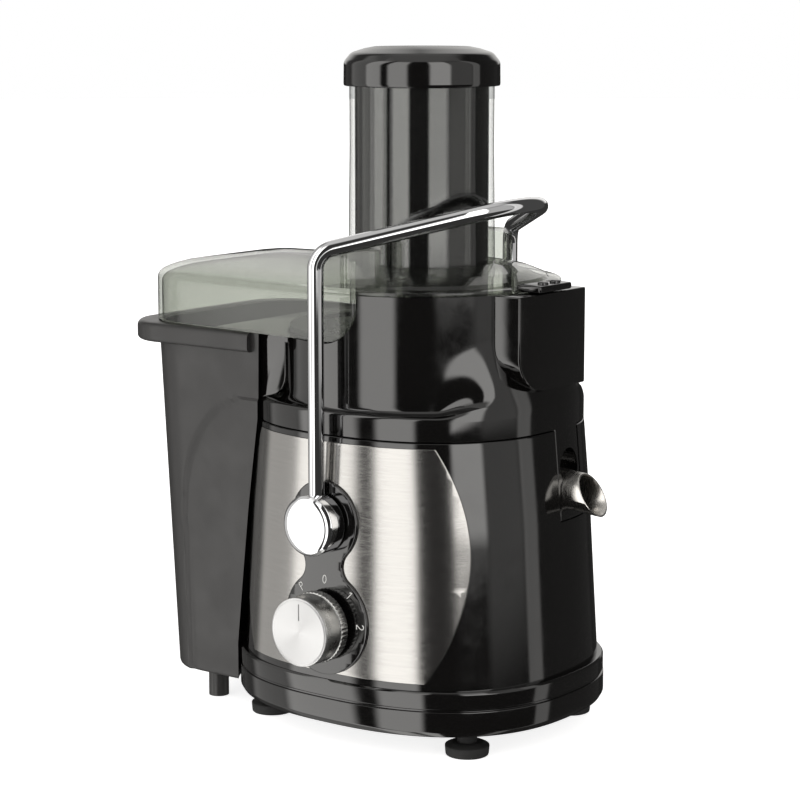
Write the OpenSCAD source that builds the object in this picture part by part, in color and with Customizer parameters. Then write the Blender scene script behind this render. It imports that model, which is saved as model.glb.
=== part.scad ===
// Centrifugal juicer with a wide feed chute, a side pulp bin and a locking arm.
// Every sub-part is drawn about the motor's spindle axis: +Z up, -Y the front with the knob,
// +X the juice side, -X the pulp side. place() then puts the origin under the middle of the
// whole object, on the surface that it stands on.

/* [Body] */
// Half length of the housing at its foot
body_half_x = 100.5; // [85:0.5:125]
// Half depth of the housing at its foot
body_half_y = 90.3; // [84:0.5:110]
// How far the front and back lean in between the housing's foot and its top
body_lean = 5.8; // [2:0.1:8]
// How far the two ends lean in
end_lean = 10; // [4:0.1:12]
// Squareness of the oval plan, where 2 is an ellipse
oval_power = 2.43; // [2:0.05:4]
// Height of the housing, from the base ring to the bowl
housing_h = 136; // [120:1:170]
// Height of the base ring
ring_h = 25.6; // [18:0.2:34]
// How far the base ring stands out from the housing's front and back
ring_step = 1.5; // [0.5:0.1:4]
// How far the base ring stands out from the housing's ends
ring_end_step = 4.5; // [1.5:0.1:6]
// Wall of the housing
housing_wall = 2.8; // [2:0.1:4]

/* [Feet] */
// Height of the base ring above the table
foot_h = 14.4; // [9:0.2:20]
// Radius of a rubber foot
foot_r = 12.5; // [8:0.5:16]
// Distance of each foot from the spindle, along X
foot_x = 70; // [50:1:76]
// Distance of each foot from the spindle, along Y
foot_y = 52; // [40:1:58]

/* [Bowl] */
// Outer radius of the bowl's round wall
bowl_r = 80; // [76:0.5:86]
// Wall of the bowl
bowl_wall = 3; // [2:0.1:4]
// Height of the oval flange at the bowl's foot
flange_h = 14; // [8:0.5:22]
// Height of the round wall above the flange
bowl_h = 64; // [56:0.5:80]
// Height of the pulp deck below the bowl's rim
deck_drop = 28; // [22:0.5:36]
// Reach of the flat block on the juice side
block_x = 90; // [86:0.5:94]
// Half width of that block
block_half_y = 33; // [28:0.5:40]

/* [Feed chute] */
// Bore of the feed chute
chute_bore = 76; // [60:0.5:80]
// Wall of the feed chute
chute_wall = 3; // [2:0.1:4]
// Top of the chute above the bowl's rim
chute_h = 117; // [80:1:150]
// Gap between the chute's foot and the grater
feed_gap = 6; // [5:0.5:12]
// Height of the pusher's cap
cap_h = 22; // [16:0.5:34]
// Depth of the cap's skirt over the chute
cap_skirt = 6; // [4:0.5:10]

/* [Lid] */
// Wall of the lid
lid_wall = 2.4; // [1.8:0.1:3.4]
// Rise of the lid's dome above the bowl's rim
dome_rise = 12; // [8:0.5:18]
// Reach of the lid on the pulp side, from the spindle
hopper_x = 165; // [155:0.5:175]
// Half width of the lid over the pulp bin
hopper_half_y = 68; // [60:0.5:72]

/* [Pulp bin] */
// Reach of the bin's grip, from the spindle
bin_x = 170; // [166:0.5:190]
// How far the grip stands out from the bin's wall
grip_depth = 12; // [8:0.5:20]
// Half width of the bin
bin_half_y = 70; // [60:0.5:76]
// Wall of the bin
bin_wall = 2.4; // [1.8:0.1:3.4]
// Draft of the bin's end wall, from top to bottom
bin_draft = 7; // [3:0.5:14]
// Height of the bin's floor above the table
bin_floor = 17.5; // [10:0.5:30]
// Height of the grip band
grip_h = 11.5; // [8:0.5:18]

/* [Locking arm] */
// Height of the arm's pivot
pivot_z = 128; // [116:0.5:138]
// Place of the pivot along X
pivot_x = -2.7; // [-10:0.1:10]
// Radius of the arm's tube
tube_r = 4.5; // [3.5:0.1:5.5]
// Distance of each leg from the spindle, along Y
leg_y = 93.5; // [92:0.5:112]
// Height of the arm's shoulders
shoulder_z = 278; // [276:0.5:300]
// Radius of the arm's loop round the chute
loop_r = 50; // [46:0.5:56]
// Plan angle at which each side of the arm turns in towards the loop
arm_heading = 44.5; // [40:0.5:50]
// Upward slope of the arm's sides
arm_rise = 12.5; // [8:0.5:16]
// Radius of a pivot cap
pivot_cap_r = 17; // [13:0.5:20]
// Radius of an axle pin
axle_r = 5; // [3:0.1:7]

/* [Controls] */
// Height of the speed knob
knob_z = 71; // [66:0.5:76]
// Radius of the speed knob
knob_r = 19.8; // [15:0.1:22]
// Distance of the knob's face from the spindle
knob_front = 113.4; // [111:0.2:122]
// Depth of the knob
knob_h = 19; // [12:0.5:20]
// Radius of the switch spindle
spindle_r = 3; // [2:0.1:4]

/* [Spout] */
// Outer radius of the steel spout
spout_r = 11; // [8:0.1:12]
// Wall of the spout
spout_wall = 1; // [0.6:0.1:1.6]
// Height of the spout's mouth
spout_z = 139.8; // [136:0.1:146]
// Middle of the spout's slanted mouth, from the spindle
spout_x = 107.6; // [104:0.1:120]
// Offset of the spout towards the back
spout_y = 15.5; // [0:0.5:20]
// Downward slope of the spout
spout_slope = 5; // [0:0.5:8]
// Lean of the mouth from upright
mouth_lean = 29.6; // [10:0.2:35]

/* [Basket] */
// Radius of the grater disc
grater_r = 48; // [44:0.5:52]
// Outer radius of the strainer at its top
strainer_top_r = 67; // [62:0.5:69]
// Wall of the strainer
strainer_wall = 1; // [0.8:0.1:1.6]

/* [Motor] */
// Half width of the stator
stator_half = 38; // [32:0.5:42]
// Height of the stator
stator_h = 42; // [30:1:48]
// Height of the stator's foot
stator_z = 76; // [70:1:82]
// Radius of the motor shaft
shaft_r = 4; // [3:0.1:5]
// Radius of the armature
armature_r = 21; // [17:0.5:24]

/* [Cord inlet] */
// Radius of the cord gland's bore
gland_bore_r = 3.6; // [2.5:0.1:5]
// Height of the cord gland
gland_z = 54; // [48:1:70]

/* [Clearances] */
// Gap between pieces that move past each other
gap = 0.4; // [0.3:0.05:0.6]
// Radial clearance of a shaft in its bearing
run = 0.05; // [0.02:0.01:0.1]
// Seam between fixed pieces
seam = 0.1; // [0.05:0.05:0.2]

/* [Hidden] */
$fn = 96;
EPS = 0.01;
BIG = 400;
OVAL_STEPS = 72;

// Heights
ring_top = foot_h + ring_h;
seam_z = ring_top + housing_h;
flange_top = seam_z + flange_h;
rim_z = flange_top + bowl_h;
deck_z = rim_z - deck_drop;
chute_top = rim_z + chute_h;
cap_rim_z = chute_top - cap_skirt;
cap_top = cap_rim_z + cap_h;
knee_z = ring_top + housing_h * 0.625;
panel_z0 = ring_top + 4;
panel_z1 = seam_z - 3;

// Plan sizes
body_top_x = body_half_x - end_lean;
body_top_y = body_half_y - body_lean;
knee_x = body_top_x + end_lean * 0.48;
knee_y = body_top_y + body_lean * 0.36;
ring_x = body_half_x + ring_end_step;
ring_y = body_half_y + ring_step;
bowl_in = bowl_r - bowl_wall;
chute_r = chute_bore / 2 + chute_wall;
cap_r = chute_r + 3.3;

// Bowl and basket
floor_z = seam_z + 4.5;
hub_hole_r = 15.5;
collar_wall = 2;
collar_z = floor_z + 6;
basket_z = floor_z + 8;
grater_z = basket_z + 2.4;
feed_z = grater_z + feed_gap;
strainer_z = deck_z + 1.6;

// Juice duct inside the tongue
duct_half_y = spout_r + 2.4;
duct_wall = 2.2;
duct_x0 = bowl_in - 12;
duct_bottom = spout_z - spout_r - 3.5;

// Panel and bezel
panel_t = 0.8;
bezel_t = 1.2;
bezel_back = seam + panel_t + 0.05;
bezel_out = bezel_back + bezel_t;
panel_half_mid = 78;
panel_half_end = 61;
dial_r = 29;
pivot_plate_r = 23.5;

// Motor
brush_x = 12.6;
bracket_h = 12;
bush_r = 7;
bush_bore_r = 4.3;
fan_r = 22;
switch_back = 58;

// Block and cheeks of the bowl
block_flat = 9;
cheek_x = 66;
cheek_y = 66;

// Pulp bin
side_draft = 0.9;
bin_top = deck_z + 0.4;
inner_top = deck_z - 12;

// Arm
cap_back_y = half_y_at(pivot_z - pivot_cap_r) + bezel_out + gap;
cap_face_y = leg_y + 10;
bend_r = 12;
bend_angle = 90 - arm_rise;
bend_z = shoulder_z - bend_r * tan(bend_angle / 2);

// Lid
tab_t = 4;
tab_half_y = 16;
skirt_z = deck_z + 1;
notch_r = 24;
notch_x = 14.5;

// Origin: under the middle of the whole object
spout_tip_x = spout_x + spout_r * (tan(mouth_lean + spout_slope) * cos(spout_slope) - sin(spout_slope));
mid_x = (spout_tip_x - bin_x) / 2;
mid_y = (cap_face_y - knob_front) / 2;

function sgn_pow(v, p) = sign(v) * pow(abs(v), p);
function oval(a, b) = [for (i = [0 : OVAL_STEPS - 1])
    let (t = 360 * i / OVAL_STEPS)
    [a * sgn_pow(cos(t), 2 / oval_power), b * sgn_pow(sin(t), 2 / oval_power)]];

// Half sizes of the housing at height z: it leans in below the knee and is steeper above it
function lean_at(z, foot, knee, top) = z < knee_z
    ? foot + (knee - foot) * (z - ring_top) / (knee_z - ring_top)
    : knee + (top - knee) * (z - knee_z) / (seam_z - knee_z);
function half_x_at(z) = lean_at(z, body_half_x, knee_x, body_top_x);
function half_y_at(z) = lean_at(z, body_half_y, knee_y, body_top_y);

module place() translate([-mid_x, -mid_y, 0]) children();

// Copies its children at four corners, and on both sides
module at_corners(x, y) for (i = [-1, 1], j = [-1, 1]) translate([i * x, j * y, 0]) children();
module both_sides() { children(); mirror([0, 1, 0]) children(); }

// A pin or disc that runs along -Y from y0 to y1
module along_y(r, y0, y1) translate([0, y0, 0]) rotate([-90, 0, 0]) cylinder(r = r, h = y1 - y0);

// A closed skin over rings that all have the same number of points
module loft(rings) {
    n = len(rings[0]);
    last = (len(rings) - 1) * n;
    polyhedron(points = [for (ring = rings, p = ring) p], faces = concat(
        [[for (i = [0 : n - 1]) i]],
        [for (k = [0 : n : last - n], i = [0 : n - 1]) let (a = k + i, b = k + (i + 1) % n)
            each [[a, a + n, b], [b, a + n, b + n]]],
        [[for (i = [n - 1 : -1 : 0]) last + i]]));
}

module oval_prism(a, b, z0, z1) translate([0, 0, z0])
    linear_extrude(height = z1 - z0) polygon(oval(a, b));

// The housing's outer form, grown or shrunk by t
module body_form(t, z0 = ring_top, z1 = seam_z) {
    levels = concat([z0], z0 < knee_z && knee_z < z1 ? [knee_z] : [], [z1]);
    loft([for (z = levels) [for (p = oval(half_x_at(z) + t, half_y_at(z) + t)) [p[0], p[1], z]]]);
}

module ring_of(r_out, r_in, z0, z1) translate([0, 0, z0]) difference() {
    cylinder(r = r_out, h = z1 - z0);
    translate([0, 0, -1]) cylinder(r = r_in, h = z1 - z0 + 2);
}

// ---- Base ----

module base_ring() color("#1b1a1a") place() difference() {
    a = ring_x;
    b = ring_y;
    union() {
        oval_prism(a - 1.2, b - 1.2, foot_h, foot_h + 2 + EPS);
        oval_prism(a, b, foot_h + 2, ring_top - 11);
        oval_prism(a - 0.9, b - 0.9, ring_top - 11 - EPS, ring_top - 9.6 + EPS);
        oval_prism(a - 0.3, b - 0.3, ring_top - 9.6, ring_top - 1.2);
        oval_prism(a - 1.1, b - 1.1, ring_top - 1.2 - EPS, ring_top);
    }
    oval_prism(a - 4.2, b - 4.2, foot_h - 1, ring_top - 3);
    oval_prism(body_half_x - housing_wall, body_half_y - housing_wall, ring_top - 4, ring_top + 1);
}

module bottom_cover() color("#222222") place() {
    z0 = foot_h + 0.6;
    difference() {
        oval_prism(ring_x - 4.3, ring_y - 4.3, z0, z0 + 3);
        for (a = [0 : 30 : 330]) rotate([0, 0, a]) translate([22, -1.5, z0 - 1]) cube([16, 3, 5]);
        at_corners(foot_x, foot_y) translate([0, 0, z0 - 1]) cylinder(r = 5.55, h = 6);
        at_corners(34, 62) translate([0, 0, z0 - 1]) cylinder(r = 1.7, h = 6);
    }
}

module rubber_feet() color("#141414") place() at_corners(foot_x, foot_y) {
    cylinder(r1 = foot_r - 1, r2 = foot_r, h = 1.5);
    translate([0, 0, 1.5 - EPS]) cylinder(r = foot_r, h = 4);
    translate([0, 0, 5.5 - 2 * EPS]) cylinder(r1 = foot_r, r2 = foot_r - 4, h = 2);
    translate([0, 0, 7]) cylinder(r = 5.5, h = foot_h - 7 + 5);
    translate([0, 0, foot_h + 3.7]) cylinder(r = 7, h = 2.3);
}

module cover_screws() color("silver") place() at_corners(34, 62) translate([0, 0, foot_h - 1.2])
    difference() {
        union() {
            cylinder(r = 3.2, h = 1.7);
            cylinder(r = 1.5, h = 14);
        }
        for (a = [0, 90]) rotate([0, 0, a]) translate([-2, -0.4, -1]) cube([4, 0.8, 2]);
    }

// Where the bowl's tongue drops into the housing
module tongue_notch(extra) translate([duct_x0 - 3 - extra, spout_y - duct_half_y - extra, duct_bottom - extra])
    cube([60, 2 * (duct_half_y + extra), seam_z - duct_bottom + 60]);

module motor_housing() color("#171616") place() difference() {
    body_form(0);
    body_form(-housing_wall, ring_top - 0.01, seam_z + 0.01);
    tongue_notch(gap);
    both_sides() translate([pivot_x, 0, pivot_z])
        along_y(axle_r + seam, -BIG / 2, -half_y_at(pivot_z) / 2);
    translate([0, 0, knob_z]) along_y(spindle_r + 1, -BIG / 2, -half_y_at(knob_z) / 2);
    translate([0, 0, gland_z]) along_y(gland_bore_r + 2.4 + seam, half_y_at(gland_z) / 2, BIG / 2);
}

// The steel sheet's outline, seen from the front: bowed sides between level ends
module panel_outline() {
    h = panel_z1 - panel_z0;
    sag = panel_half_mid - panel_half_end;
    r = (h * h / 4 + sag * sag) / (2 * sag);
    intersection() {
        translate([-BIG / 2, panel_z0]) square([BIG, h]);
        translate([r - panel_half_mid, (panel_z0 + panel_z1) / 2]) circle(r = r, $fn = 180);
        translate([panel_half_mid - r, (panel_z0 + panel_z1) / 2]) circle(r = r, $fn = 180);
    }
}

module front_holes(extra) {
    translate([pivot_x, 0, pivot_z]) along_y(axle_r + extra, -BIG / 2, 0);
    translate([0, 0, knob_z]) along_y(spindle_r + 1 + extra, -BIG / 2, 0);
}

// A sheet of thickness t that follows the front, its back t0 outside the housing
module front_sheet(t0, t) difference() {
    intersection() {
        body_form(t0 + t, panel_z0 - 2, panel_z1 + 2);
        rotate([90, 0, 0]) linear_extrude(height = BIG / 2) children();
    }
    body_form(t0, panel_z0 - 3, panel_z1 + 3);
    front_holes(seam);
}

module front_panel() color("silver") place() front_sheet(seam, panel_t) panel_outline();

module bezel_outline() offset(r = -10) offset(r = 10) {
    translate([pivot_x, pivot_z]) circle(r = pivot_plate_r);
    translate([0, knob_z + 1]) circle(r = dial_r);
}

module control_bezel() color("#101010") place()
    front_sheet(bezel_back, bezel_t) bezel_outline();

// The two axles that the arm's caps turn on, each with a flange inside the housing
module arm_axles() color("silver") place() both_sides() translate([pivot_x, 0, pivot_z]) {
    y_in = half_y_at(pivot_z) - housing_wall - 1.6;
    along_y(axle_r, -(cap_face_y - 4), -y_in + 3);
    along_y(axle_r + 4, -y_in, -y_in + 3);
}

// ---- Deck, motor and controls inside the housing ----

module deck_plate() color("#2a2a2a") place() {
    z0 = seam_z - 5;
    difference() {
        union() {
            body_form(-housing_wall - 0.15, z0, z0 + 3);
            // Pocket that keeps juice away from the motor
            intersection() {
                tongue_notch(gap + 1.6);
                translate([-BIG / 2, -BIG / 2, duct_bottom - 3]) cube([BIG, BIG, z0 - duct_bottom + 5]);
                body_form(-housing_wall - 0.15);
            }
            // Raised lip round the shaft
            translate([0, 0, z0]) cylinder(r = 17.5, h = 5.2);
        }
        tongue_notch(gap);
        translate([0, 0, z0 - 1]) cylinder(r = 9, h = 12);
        translate([0, 0, z0 + 2]) cylinder(r = 14.2, h = 12);
    }
}

module shaft_seal() color("#101010") place() ring_of(8.9, shaft_r + 0.35, seam_z - 5, seam_z - 3.2);

// A bridge over the stator with a bearing seat in its middle
module motor_bracket(z0, flip) translate([0, 0, z0]) mirror([0, 0, flip]) difference() {
    union() {
        translate([-stator_half, -11, bracket_h - 4]) cube([2 * stator_half, 22, 4]);
        for (i = [-1, 1]) translate([i * (stator_half - 2) - 2, -11, 0]) cube([4, 22, 10]);
        translate([0, 0, 4]) cylinder(r = 13, h = 8);
    }
    translate([0, 0, 3]) cylinder(r = 9.6, h = 6);
    translate([0, 0, -1]) cylinder(r = 7, h = 20);
    for (i = [-1, 1]) translate([i * (stator_half - 8), 0, -1]) cylinder(r = 2.2, h = 20);
}

module motor_top_bracket() color("silver") place() motor_bracket(stator_z + stator_h, 0);
module motor_bottom_bracket() color("silver") place() motor_bracket(stator_z, 1);

module stator_core() color("#8a8a8a") place() translate([0, 0, stator_z]) difference() {
    linear_extrude(height = stator_h) offset(r = 6) square(2 * stator_half - 12, center = true);
    translate([0, 0, -1]) cylinder(r = armature_r + 1, h = stator_h + 2);
    for (j = [-1, 1]) translate([-22, j * (armature_r + 6) - 4, -1]) cube([44, 8, stator_h + 2]);
    for (i = [-1, 1]) translate([i * (stator_half - 8), 0, -1]) cylinder(r = 2.2, h = stator_h + 2);
}

module field_coils() color("#b06a2c") place() for (j = [-1, 1])
    translate([0, j * (armature_r + 6), stator_z - 8]) difference() {
        translate([-21.5, -3.5, 0]) cube([43, 7, stator_h + 16]);
        translate([-14, -5, 8 - 0.2]) cube([28, 10, stator_h + 0.4]);
    }

module bearing(z0) translate([0, 0, z0]) ring_of(9.5, shaft_r + run, 0, 5.5);
module top_bearing() color("silver") place() bearing(stator_z + stator_h + 3.2);
module bottom_bearing() color("silver") place() bearing(stator_z - 8.7);

module brush_holders() color("#c9a24a") place() for (j = [-1, 1])
    translate([0, j * (brush_x + 9), stator_z - 18]) difference() {
        translate([-5, -8, -5]) cube([10, 16, 10]);
        translate([-3.1, -9, -3.1]) cube([6.2, 18, 6.2]);
    }
module carbon_brushes() color("#3a3a3a") place() for (j = [-1, 1])
    translate([0, j * (brush_x + 7), stator_z - 18]) translate([-3, -7, -3]) cube([6, 14, 6]);

module mount_bushes() color("#202020") place() for (i = [-1, 1])
    translate([i * (stator_half - 8), 0, 0]) {
        ring_of(bush_r, bush_bore_r, foot_h + 3.7, stator_z - bracket_h - 0.1);
        ring_of(bush_r, bush_bore_r, stator_z + stator_h + bracket_h + 0.1, seam_z - 5.1);
    }

module motor_bolts() color("silver") place() for (i = [-1, 1])
    translate([i * (stator_half - 8), 0, stator_z - 15]) {
        cylinder(r = 2, h = stator_h + 30);
        translate([0, 0, -0.1]) cylinder(r = 4, h = 2.9);
        translate([0, 0, stator_h + 27.2]) cylinder(r = 4, h = 2.8);
    }

module speed_switch() color("#303030") place() translate([0, 0, knob_z]) difference() {
    switch_front = half_y_at(knob_z) - housing_wall - 1.2;
    translate([-14, -switch_front, -14]) cube([28, switch_front - switch_back, 28]);
    along_y(spindle_r + run, -BIG / 2, -switch_back - 4);
}

module control_board() color("#2f6b3a") place() translate([-70, -26, foot_h + 24]) difference() {
    union() {
        cube([1.6, 52, 44]);
        for (p = [[8, 8, 10], [24, 20, 14], [38, 10, 9]])
            translate([1.6 - EPS, p[0], p[1]]) cube([p[2], 9, 12]);
    }
    for (y = [4, 48]) translate([-1, y, 4]) rotate([0, 90, 0]) cylinder(r = 1.6, h = 4);
}

module interlock_switch() color("#262626") place()
    translate([pivot_x - 10, -(half_y_at(pivot_z) - housing_wall - 20), pivot_z - 8]) {
        translate([0, 0, 2]) cube([20, 8, 12]);
        translate([8.5, -2.5, 6.5]) cube([3, 2.5 + EPS, 3]);
    }

module cord_gland() color("#151515") place() translate([0, 0, gland_z]) difference() {
    y0 = half_y_at(gland_z);
    union() {
        along_y(gland_bore_r + 2.4, y0 - housing_wall - 6, y0 + 1);
        translate([0, y0 + 0.6, 0]) along_y(gland_bore_r + 4.4, 0, 2.6);
        translate([0, y0 + 3.2 - EPS, 0]) rotate([-90, 0, 0])
            cylinder(r1 = gland_bore_r + 3.4, r2 = gland_bore_r + 1.4, h = 8);
    }
    along_y(gland_bore_r, 0, BIG);
}

// ---- Bowl and spout ----

// Seen from the front, what the lid's skirt takes from the bowl's wall on the pulp side
module notch_outline(extra) {
    z0 = deck_z + extra;
    translate([notch_x - notch_r - BIG, z0]) square([BIG, BIG / 2]);
    translate([notch_x - notch_r - 1, z0 + notch_r - extra]) square([notch_r + 1 - extra, BIG / 2]);
    intersection() {
        translate([notch_x - notch_r - 1, z0]) square([notch_r + 1, notch_r]);
        translate([notch_x - notch_r, z0 + notch_r - extra]) circle(r = notch_r - extra);
    }
}

module side_profile(half_w) rotate([90, 0, 0]) linear_extrude(height = 2 * half_w, center = true)
    children();

// Channel that carries juice from the bowl's floor to the spout
module duct_form(inset) intersection() {
    translate([duct_x0 + inset, spout_y - duct_half_y + inset, duct_bottom + inset])
        cube([40, 2 * (duct_half_y - inset), floor_z + 2 - duct_bottom]);
    oval_prism(body_top_x - 0.2 - inset, body_top_y - 0.2 - inset, 0, BIG);
}

module bowl_outside() {
    oval_prism(body_top_x - 0.2, body_top_y - 0.2, seam_z + 0.4, flange_top);
    translate([0, 0, seam_z + 1]) cylinder(r = bowl_r, h = rim_z - seam_z - 1);
    // Round foot of the wall
    fillet = body_top_y - 1 - bowl_r - 0.2;
    translate([0, 0, flange_top - EPS]) rotate_extrude() translate([bowl_r - EPS, 0]) difference() {
        square(fillet);
        translate([fillet, fillet]) circle(r = fillet);
    }
    // Flat block on the juice side, its rounded foot, and the curved wall under that
    foot_round = block_half_y - block_flat;
    foot_z = flange_top + 8 + foot_round;
    rotate([90, 0, 90]) linear_extrude(height = block_x) {
        translate([-block_half_y, foot_z]) square([2 * block_half_y, rim_z - foot_z]);
        translate([-block_flat, foot_z - foot_round]) square([2 * block_flat, foot_round + 1]);
        for (s = [-1, 1]) translate([s * block_flat, foot_z]) circle(r = foot_round);
    }
    intersection() {
        oval_prism(body_top_x - 0.7, body_top_y - 0.7, flange_top - 1, foot_z + 1);
        translate([0, -block_half_y + 0.5, 0]) cube([BIG, 2 * block_half_y - 1, BIG]);
    }
    duct_form(0);
    // Pulp deck and its cheeks
    translate([-bowl_r - 25, -60, deck_z - 4]) cube([56, 120, 4]);
    translate([-cheek_x, -cheek_y, deck_z - 4]) cube([30, 2 * cheek_y, 4]);
    for (s = [-1, 1]) translate([-cheek_x, s * (cheek_y - 2) - 2, flange_top - 1]) cube([24, 4, deck_z - flange_top]);
}

module juice_bowl() color("#131212") place() difference() {
    union() {
        difference() {
            bowl_outside();
            translate([0, 0, floor_z]) cylinder(r = bowl_in, h = BIG);
            translate([0, 0, -BIG / 2 + floor_z - 2.5]) cylinder(r = 76, h = BIG / 2);
            duct_form(duct_wall);
            // Hollow of the block
            translate([0, -block_half_y + bowl_wall, flange_top + 34])
                cube([block_x - bowl_wall, 2 * (block_half_y - bowl_wall), rim_z - flange_top - 34 - bowl_wall]);
            side_profile(BIG / 2) notch_outline(0);
        }
        translate([0, 0, floor_z - 2.5]) cylinder(r = 77, h = 2.5);
        ring_of(hub_hole_r + collar_wall, hub_hole_r, floor_z - 2.5, collar_z);
    }
    translate([0, 0, floor_z - 10]) cylinder(r = hub_hole_r, h = 40);
    // Way down into the duct
    translate([duct_x0 + duct_wall, spout_y - duct_half_y + duct_wall, duct_bottom + duct_wall])
        cube([bowl_in - 4 - duct_x0 - duct_wall, 2 * (duct_half_y - duct_wall), floor_z - duct_bottom + 1]);
    // Seat of the spout
    translate([spout_x, spout_y, spout_z]) rotate([0, 90 + spout_slope, 0]) translate([0, 0, -28])
        cylinder(r = spout_r + seam, h = 60);
}

module juice_spout() color("silver") place() translate([spout_x, spout_y, spout_z])
    rotate([0, 90 + spout_slope, 0]) difference() {
        translate([0, 0, -27]) cylinder(r = spout_r, h = 47);
        translate([0, 0, -28]) cylinder(r = spout_r - spout_wall, h = 80);
        // Slanted mouth
        rotate([0, -(mouth_lean + spout_slope), 0]) translate([-50, -50, 0]) cube([100, 100, 60]);
    }

// ---- Rotor ----

module motor_shaft() color("silver") place() translate([0, 0, stator_z - 40])
    cylinder(r = shaft_r, h = basket_z - 2 - stator_z + 40);

module armature_core() color("#7a7a7a") place() translate([0, 0, stator_z + 1]) difference() {
    cylinder(r = armature_r, h = stator_h - 2);
    translate([0, 0, -1]) cylinder(r = shaft_r, h = stator_h + 2);
    for (a = [0 : 30 : 330]) rotate([0, 0, a]) translate([armature_r - 5, -1.2, -1]) cube([6, 2.4, stator_h]);
}

module commutator() color("#b87333") place() translate([0, 0, stator_z - 24]) difference() {
    cylinder(r = brush_x - 0.5, h = 12);
    translate([0, 0, -1]) cylinder(r = shaft_r, h = 14);
    for (a = [0 : 15 : 345]) rotate([0, 0, a]) translate([brush_x - 2, -0.25, -1]) cube([3, 0.5, 14]);
}

module cooling_fan() color("#3b3b3b") place() translate([0, 0, stator_z - 39]) difference() {
    union() {
        cylinder(r = 7, h = 10);
        cylinder(r = fan_r, h = 1.5);
        for (a = [0 : 36 : 324]) rotate([0, 0, a]) translate([6, -0.8, 0]) cube([fan_r - 6.5, 1.6, 10]);
    }
    translate([0, 0, -1]) cylinder(r = shaft_r, h = 20);
}

module drive_coupling() color("#202020") place() translate([0, 0, seam_z + 0.6]) difference() {
    union() {
        cylinder(r = 13, h = basket_z - seam_z - 1);
        for (a = [0 : 60 : 300]) rotate([0, 0, a]) translate([11, -2, 2]) cube([3, 4, 6]);
    }
    translate([0, 0, -20]) cylinder(r = shaft_r, h = basket_z - seam_z + 17.6);
}

module basket_hub() color("#1c1c1c") place() difference() {
    union() {
        translate([0, 0, floor_z + 1.5]) cylinder(r = hub_hole_r + collar_wall + 4.5, h = basket_z - floor_z - 1.5);
        translate([0, 0, basket_z]) cylinder(r = grater_r + 2, h = 1.6);
    }
    translate([0, 0, floor_z]) cylinder(r = hub_hole_r + collar_wall + 1.5, h = basket_z - floor_z - 0.4);
}

module grater_disc() color("silver") place() translate([0, 0, basket_z + 1.7]) difference() {
    union() {
        cylinder(r = grater_r, h = 0.8);
        for (ring = [1 : 5], a = [0 : 360 / (5 * ring + 3) : 359]) rotate([0, 0, a + 17 * ring])
            translate([8 + ring * 7, 0, 0.8 - EPS]) cylinder(r1 = 1.3, r2 = 0.4, h = 1.4, $fn = 16);
    }
    translate([0, 0, -1]) cylinder(r = 4, h = 4);
}

module strainer_cone() color("silver") place() translate([0, 0, basket_z + 1.7]) rotate_extrude()
    polygon([[grater_r + 0.2, 0], [grater_r + 0.2 + strainer_wall, 0],
        [strainer_top_r, strainer_z - basket_z - 1.7],
        [strainer_top_r - strainer_wall, strainer_z - basket_z - 1.7]]);

module basket_rim() color("#1c1c1c") place() difference() {
    ring_of(bowl_in - 1.6, strainer_top_r - strainer_wall - 0.6, strainer_z - 2.5, strainer_z + 2.4);
    translate([0, 0, strainer_z - 3]) cylinder(r = strainer_top_r + 0.1, h = 3);
    translate([0, 0, strainer_z - 3]) difference() {
        cylinder(r = bowl_r, h = 2);
        translate([0, 0, -1]) cylinder(r = strainer_top_r + 2, h = 4);
    }
}

// ---- Locking arm ----

// The arm's loop lies in a plane that slopes up towards the juice side. Its path is a list of
// [point, direction] along the near leg, the bend, half the loop, and the same mirrored.
arm_dir = [cos(arm_rise) * cos(arm_heading), cos(arm_rise) * sin(arm_heading), sin(arm_rise)];
plane_slope = atan(arm_dir[2] / arm_dir[0]);
plane_turn = acos(norm([arm_dir[0], arm_dir[2]]));
plane_x = [cos(plane_slope), 0, sin(plane_slope)];
bend_end = bend_point(bend_angle);
loop_mid = (-bend_end[1] * cos(plane_turn) - loop_r) / sin(plane_turn);
function bend_point(a) = [pivot_x + bend_r * (1 - cos(a)) * cos(arm_heading),
    -leg_y + bend_r * (1 - cos(a)) * sin(arm_heading), bend_z + bend_r * sin(a)];
function bend_dir(a) = [sin(a) * cos(arm_heading), sin(a) * sin(arm_heading), cos(a)];
function loop_point(a) = [bend_end[0], 0, bend_end[2]] + (loop_mid + loop_r * cos(a)) * plane_x
    + [0, loop_r * sin(a), 0];
function loop_dir(a) = -sin(a) * plane_x + [0, cos(a), 0];
half_arm = concat([[[pivot_x, -leg_y, pivot_z + 8], [0, 0, 1]]],
    [for (i = [0 : 8]) let (a = bend_angle * i / 8) [bend_point(a), bend_dir(a)]],
    [for (i = [0 : 11]) let (a = (plane_turn - 90) * (1 - i / 12)) [loop_point(a), loop_dir(a)]]);
arm_path = concat(half_arm, [[loop_point(0), loop_dir(0)]],
    [for (i = [len(half_arm) - 1 : -1 : 0]) let (p = half_arm[i])
        [[p[0][0], -p[0][1], p[0][2]], [-p[1][0], p[1][1], -p[1][2]]]]);

// A round ring about p, square to direction d, which is never along X
function tube_ring(p, d, r, sides = 20) = let (u = cross(d, [1, 0, 0]) / norm(cross(d, [1, 0, 0])),
    v = cross(d, u)) [for (i = [0 : sides - 1]) p + r * (cos(360 * i / sides) * u + sin(360 * i / sides) * v)];

module arm_tube() color("silver") place() loft([for (s = arm_path) tube_ring(s[0], s[1], tube_r)]);

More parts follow.
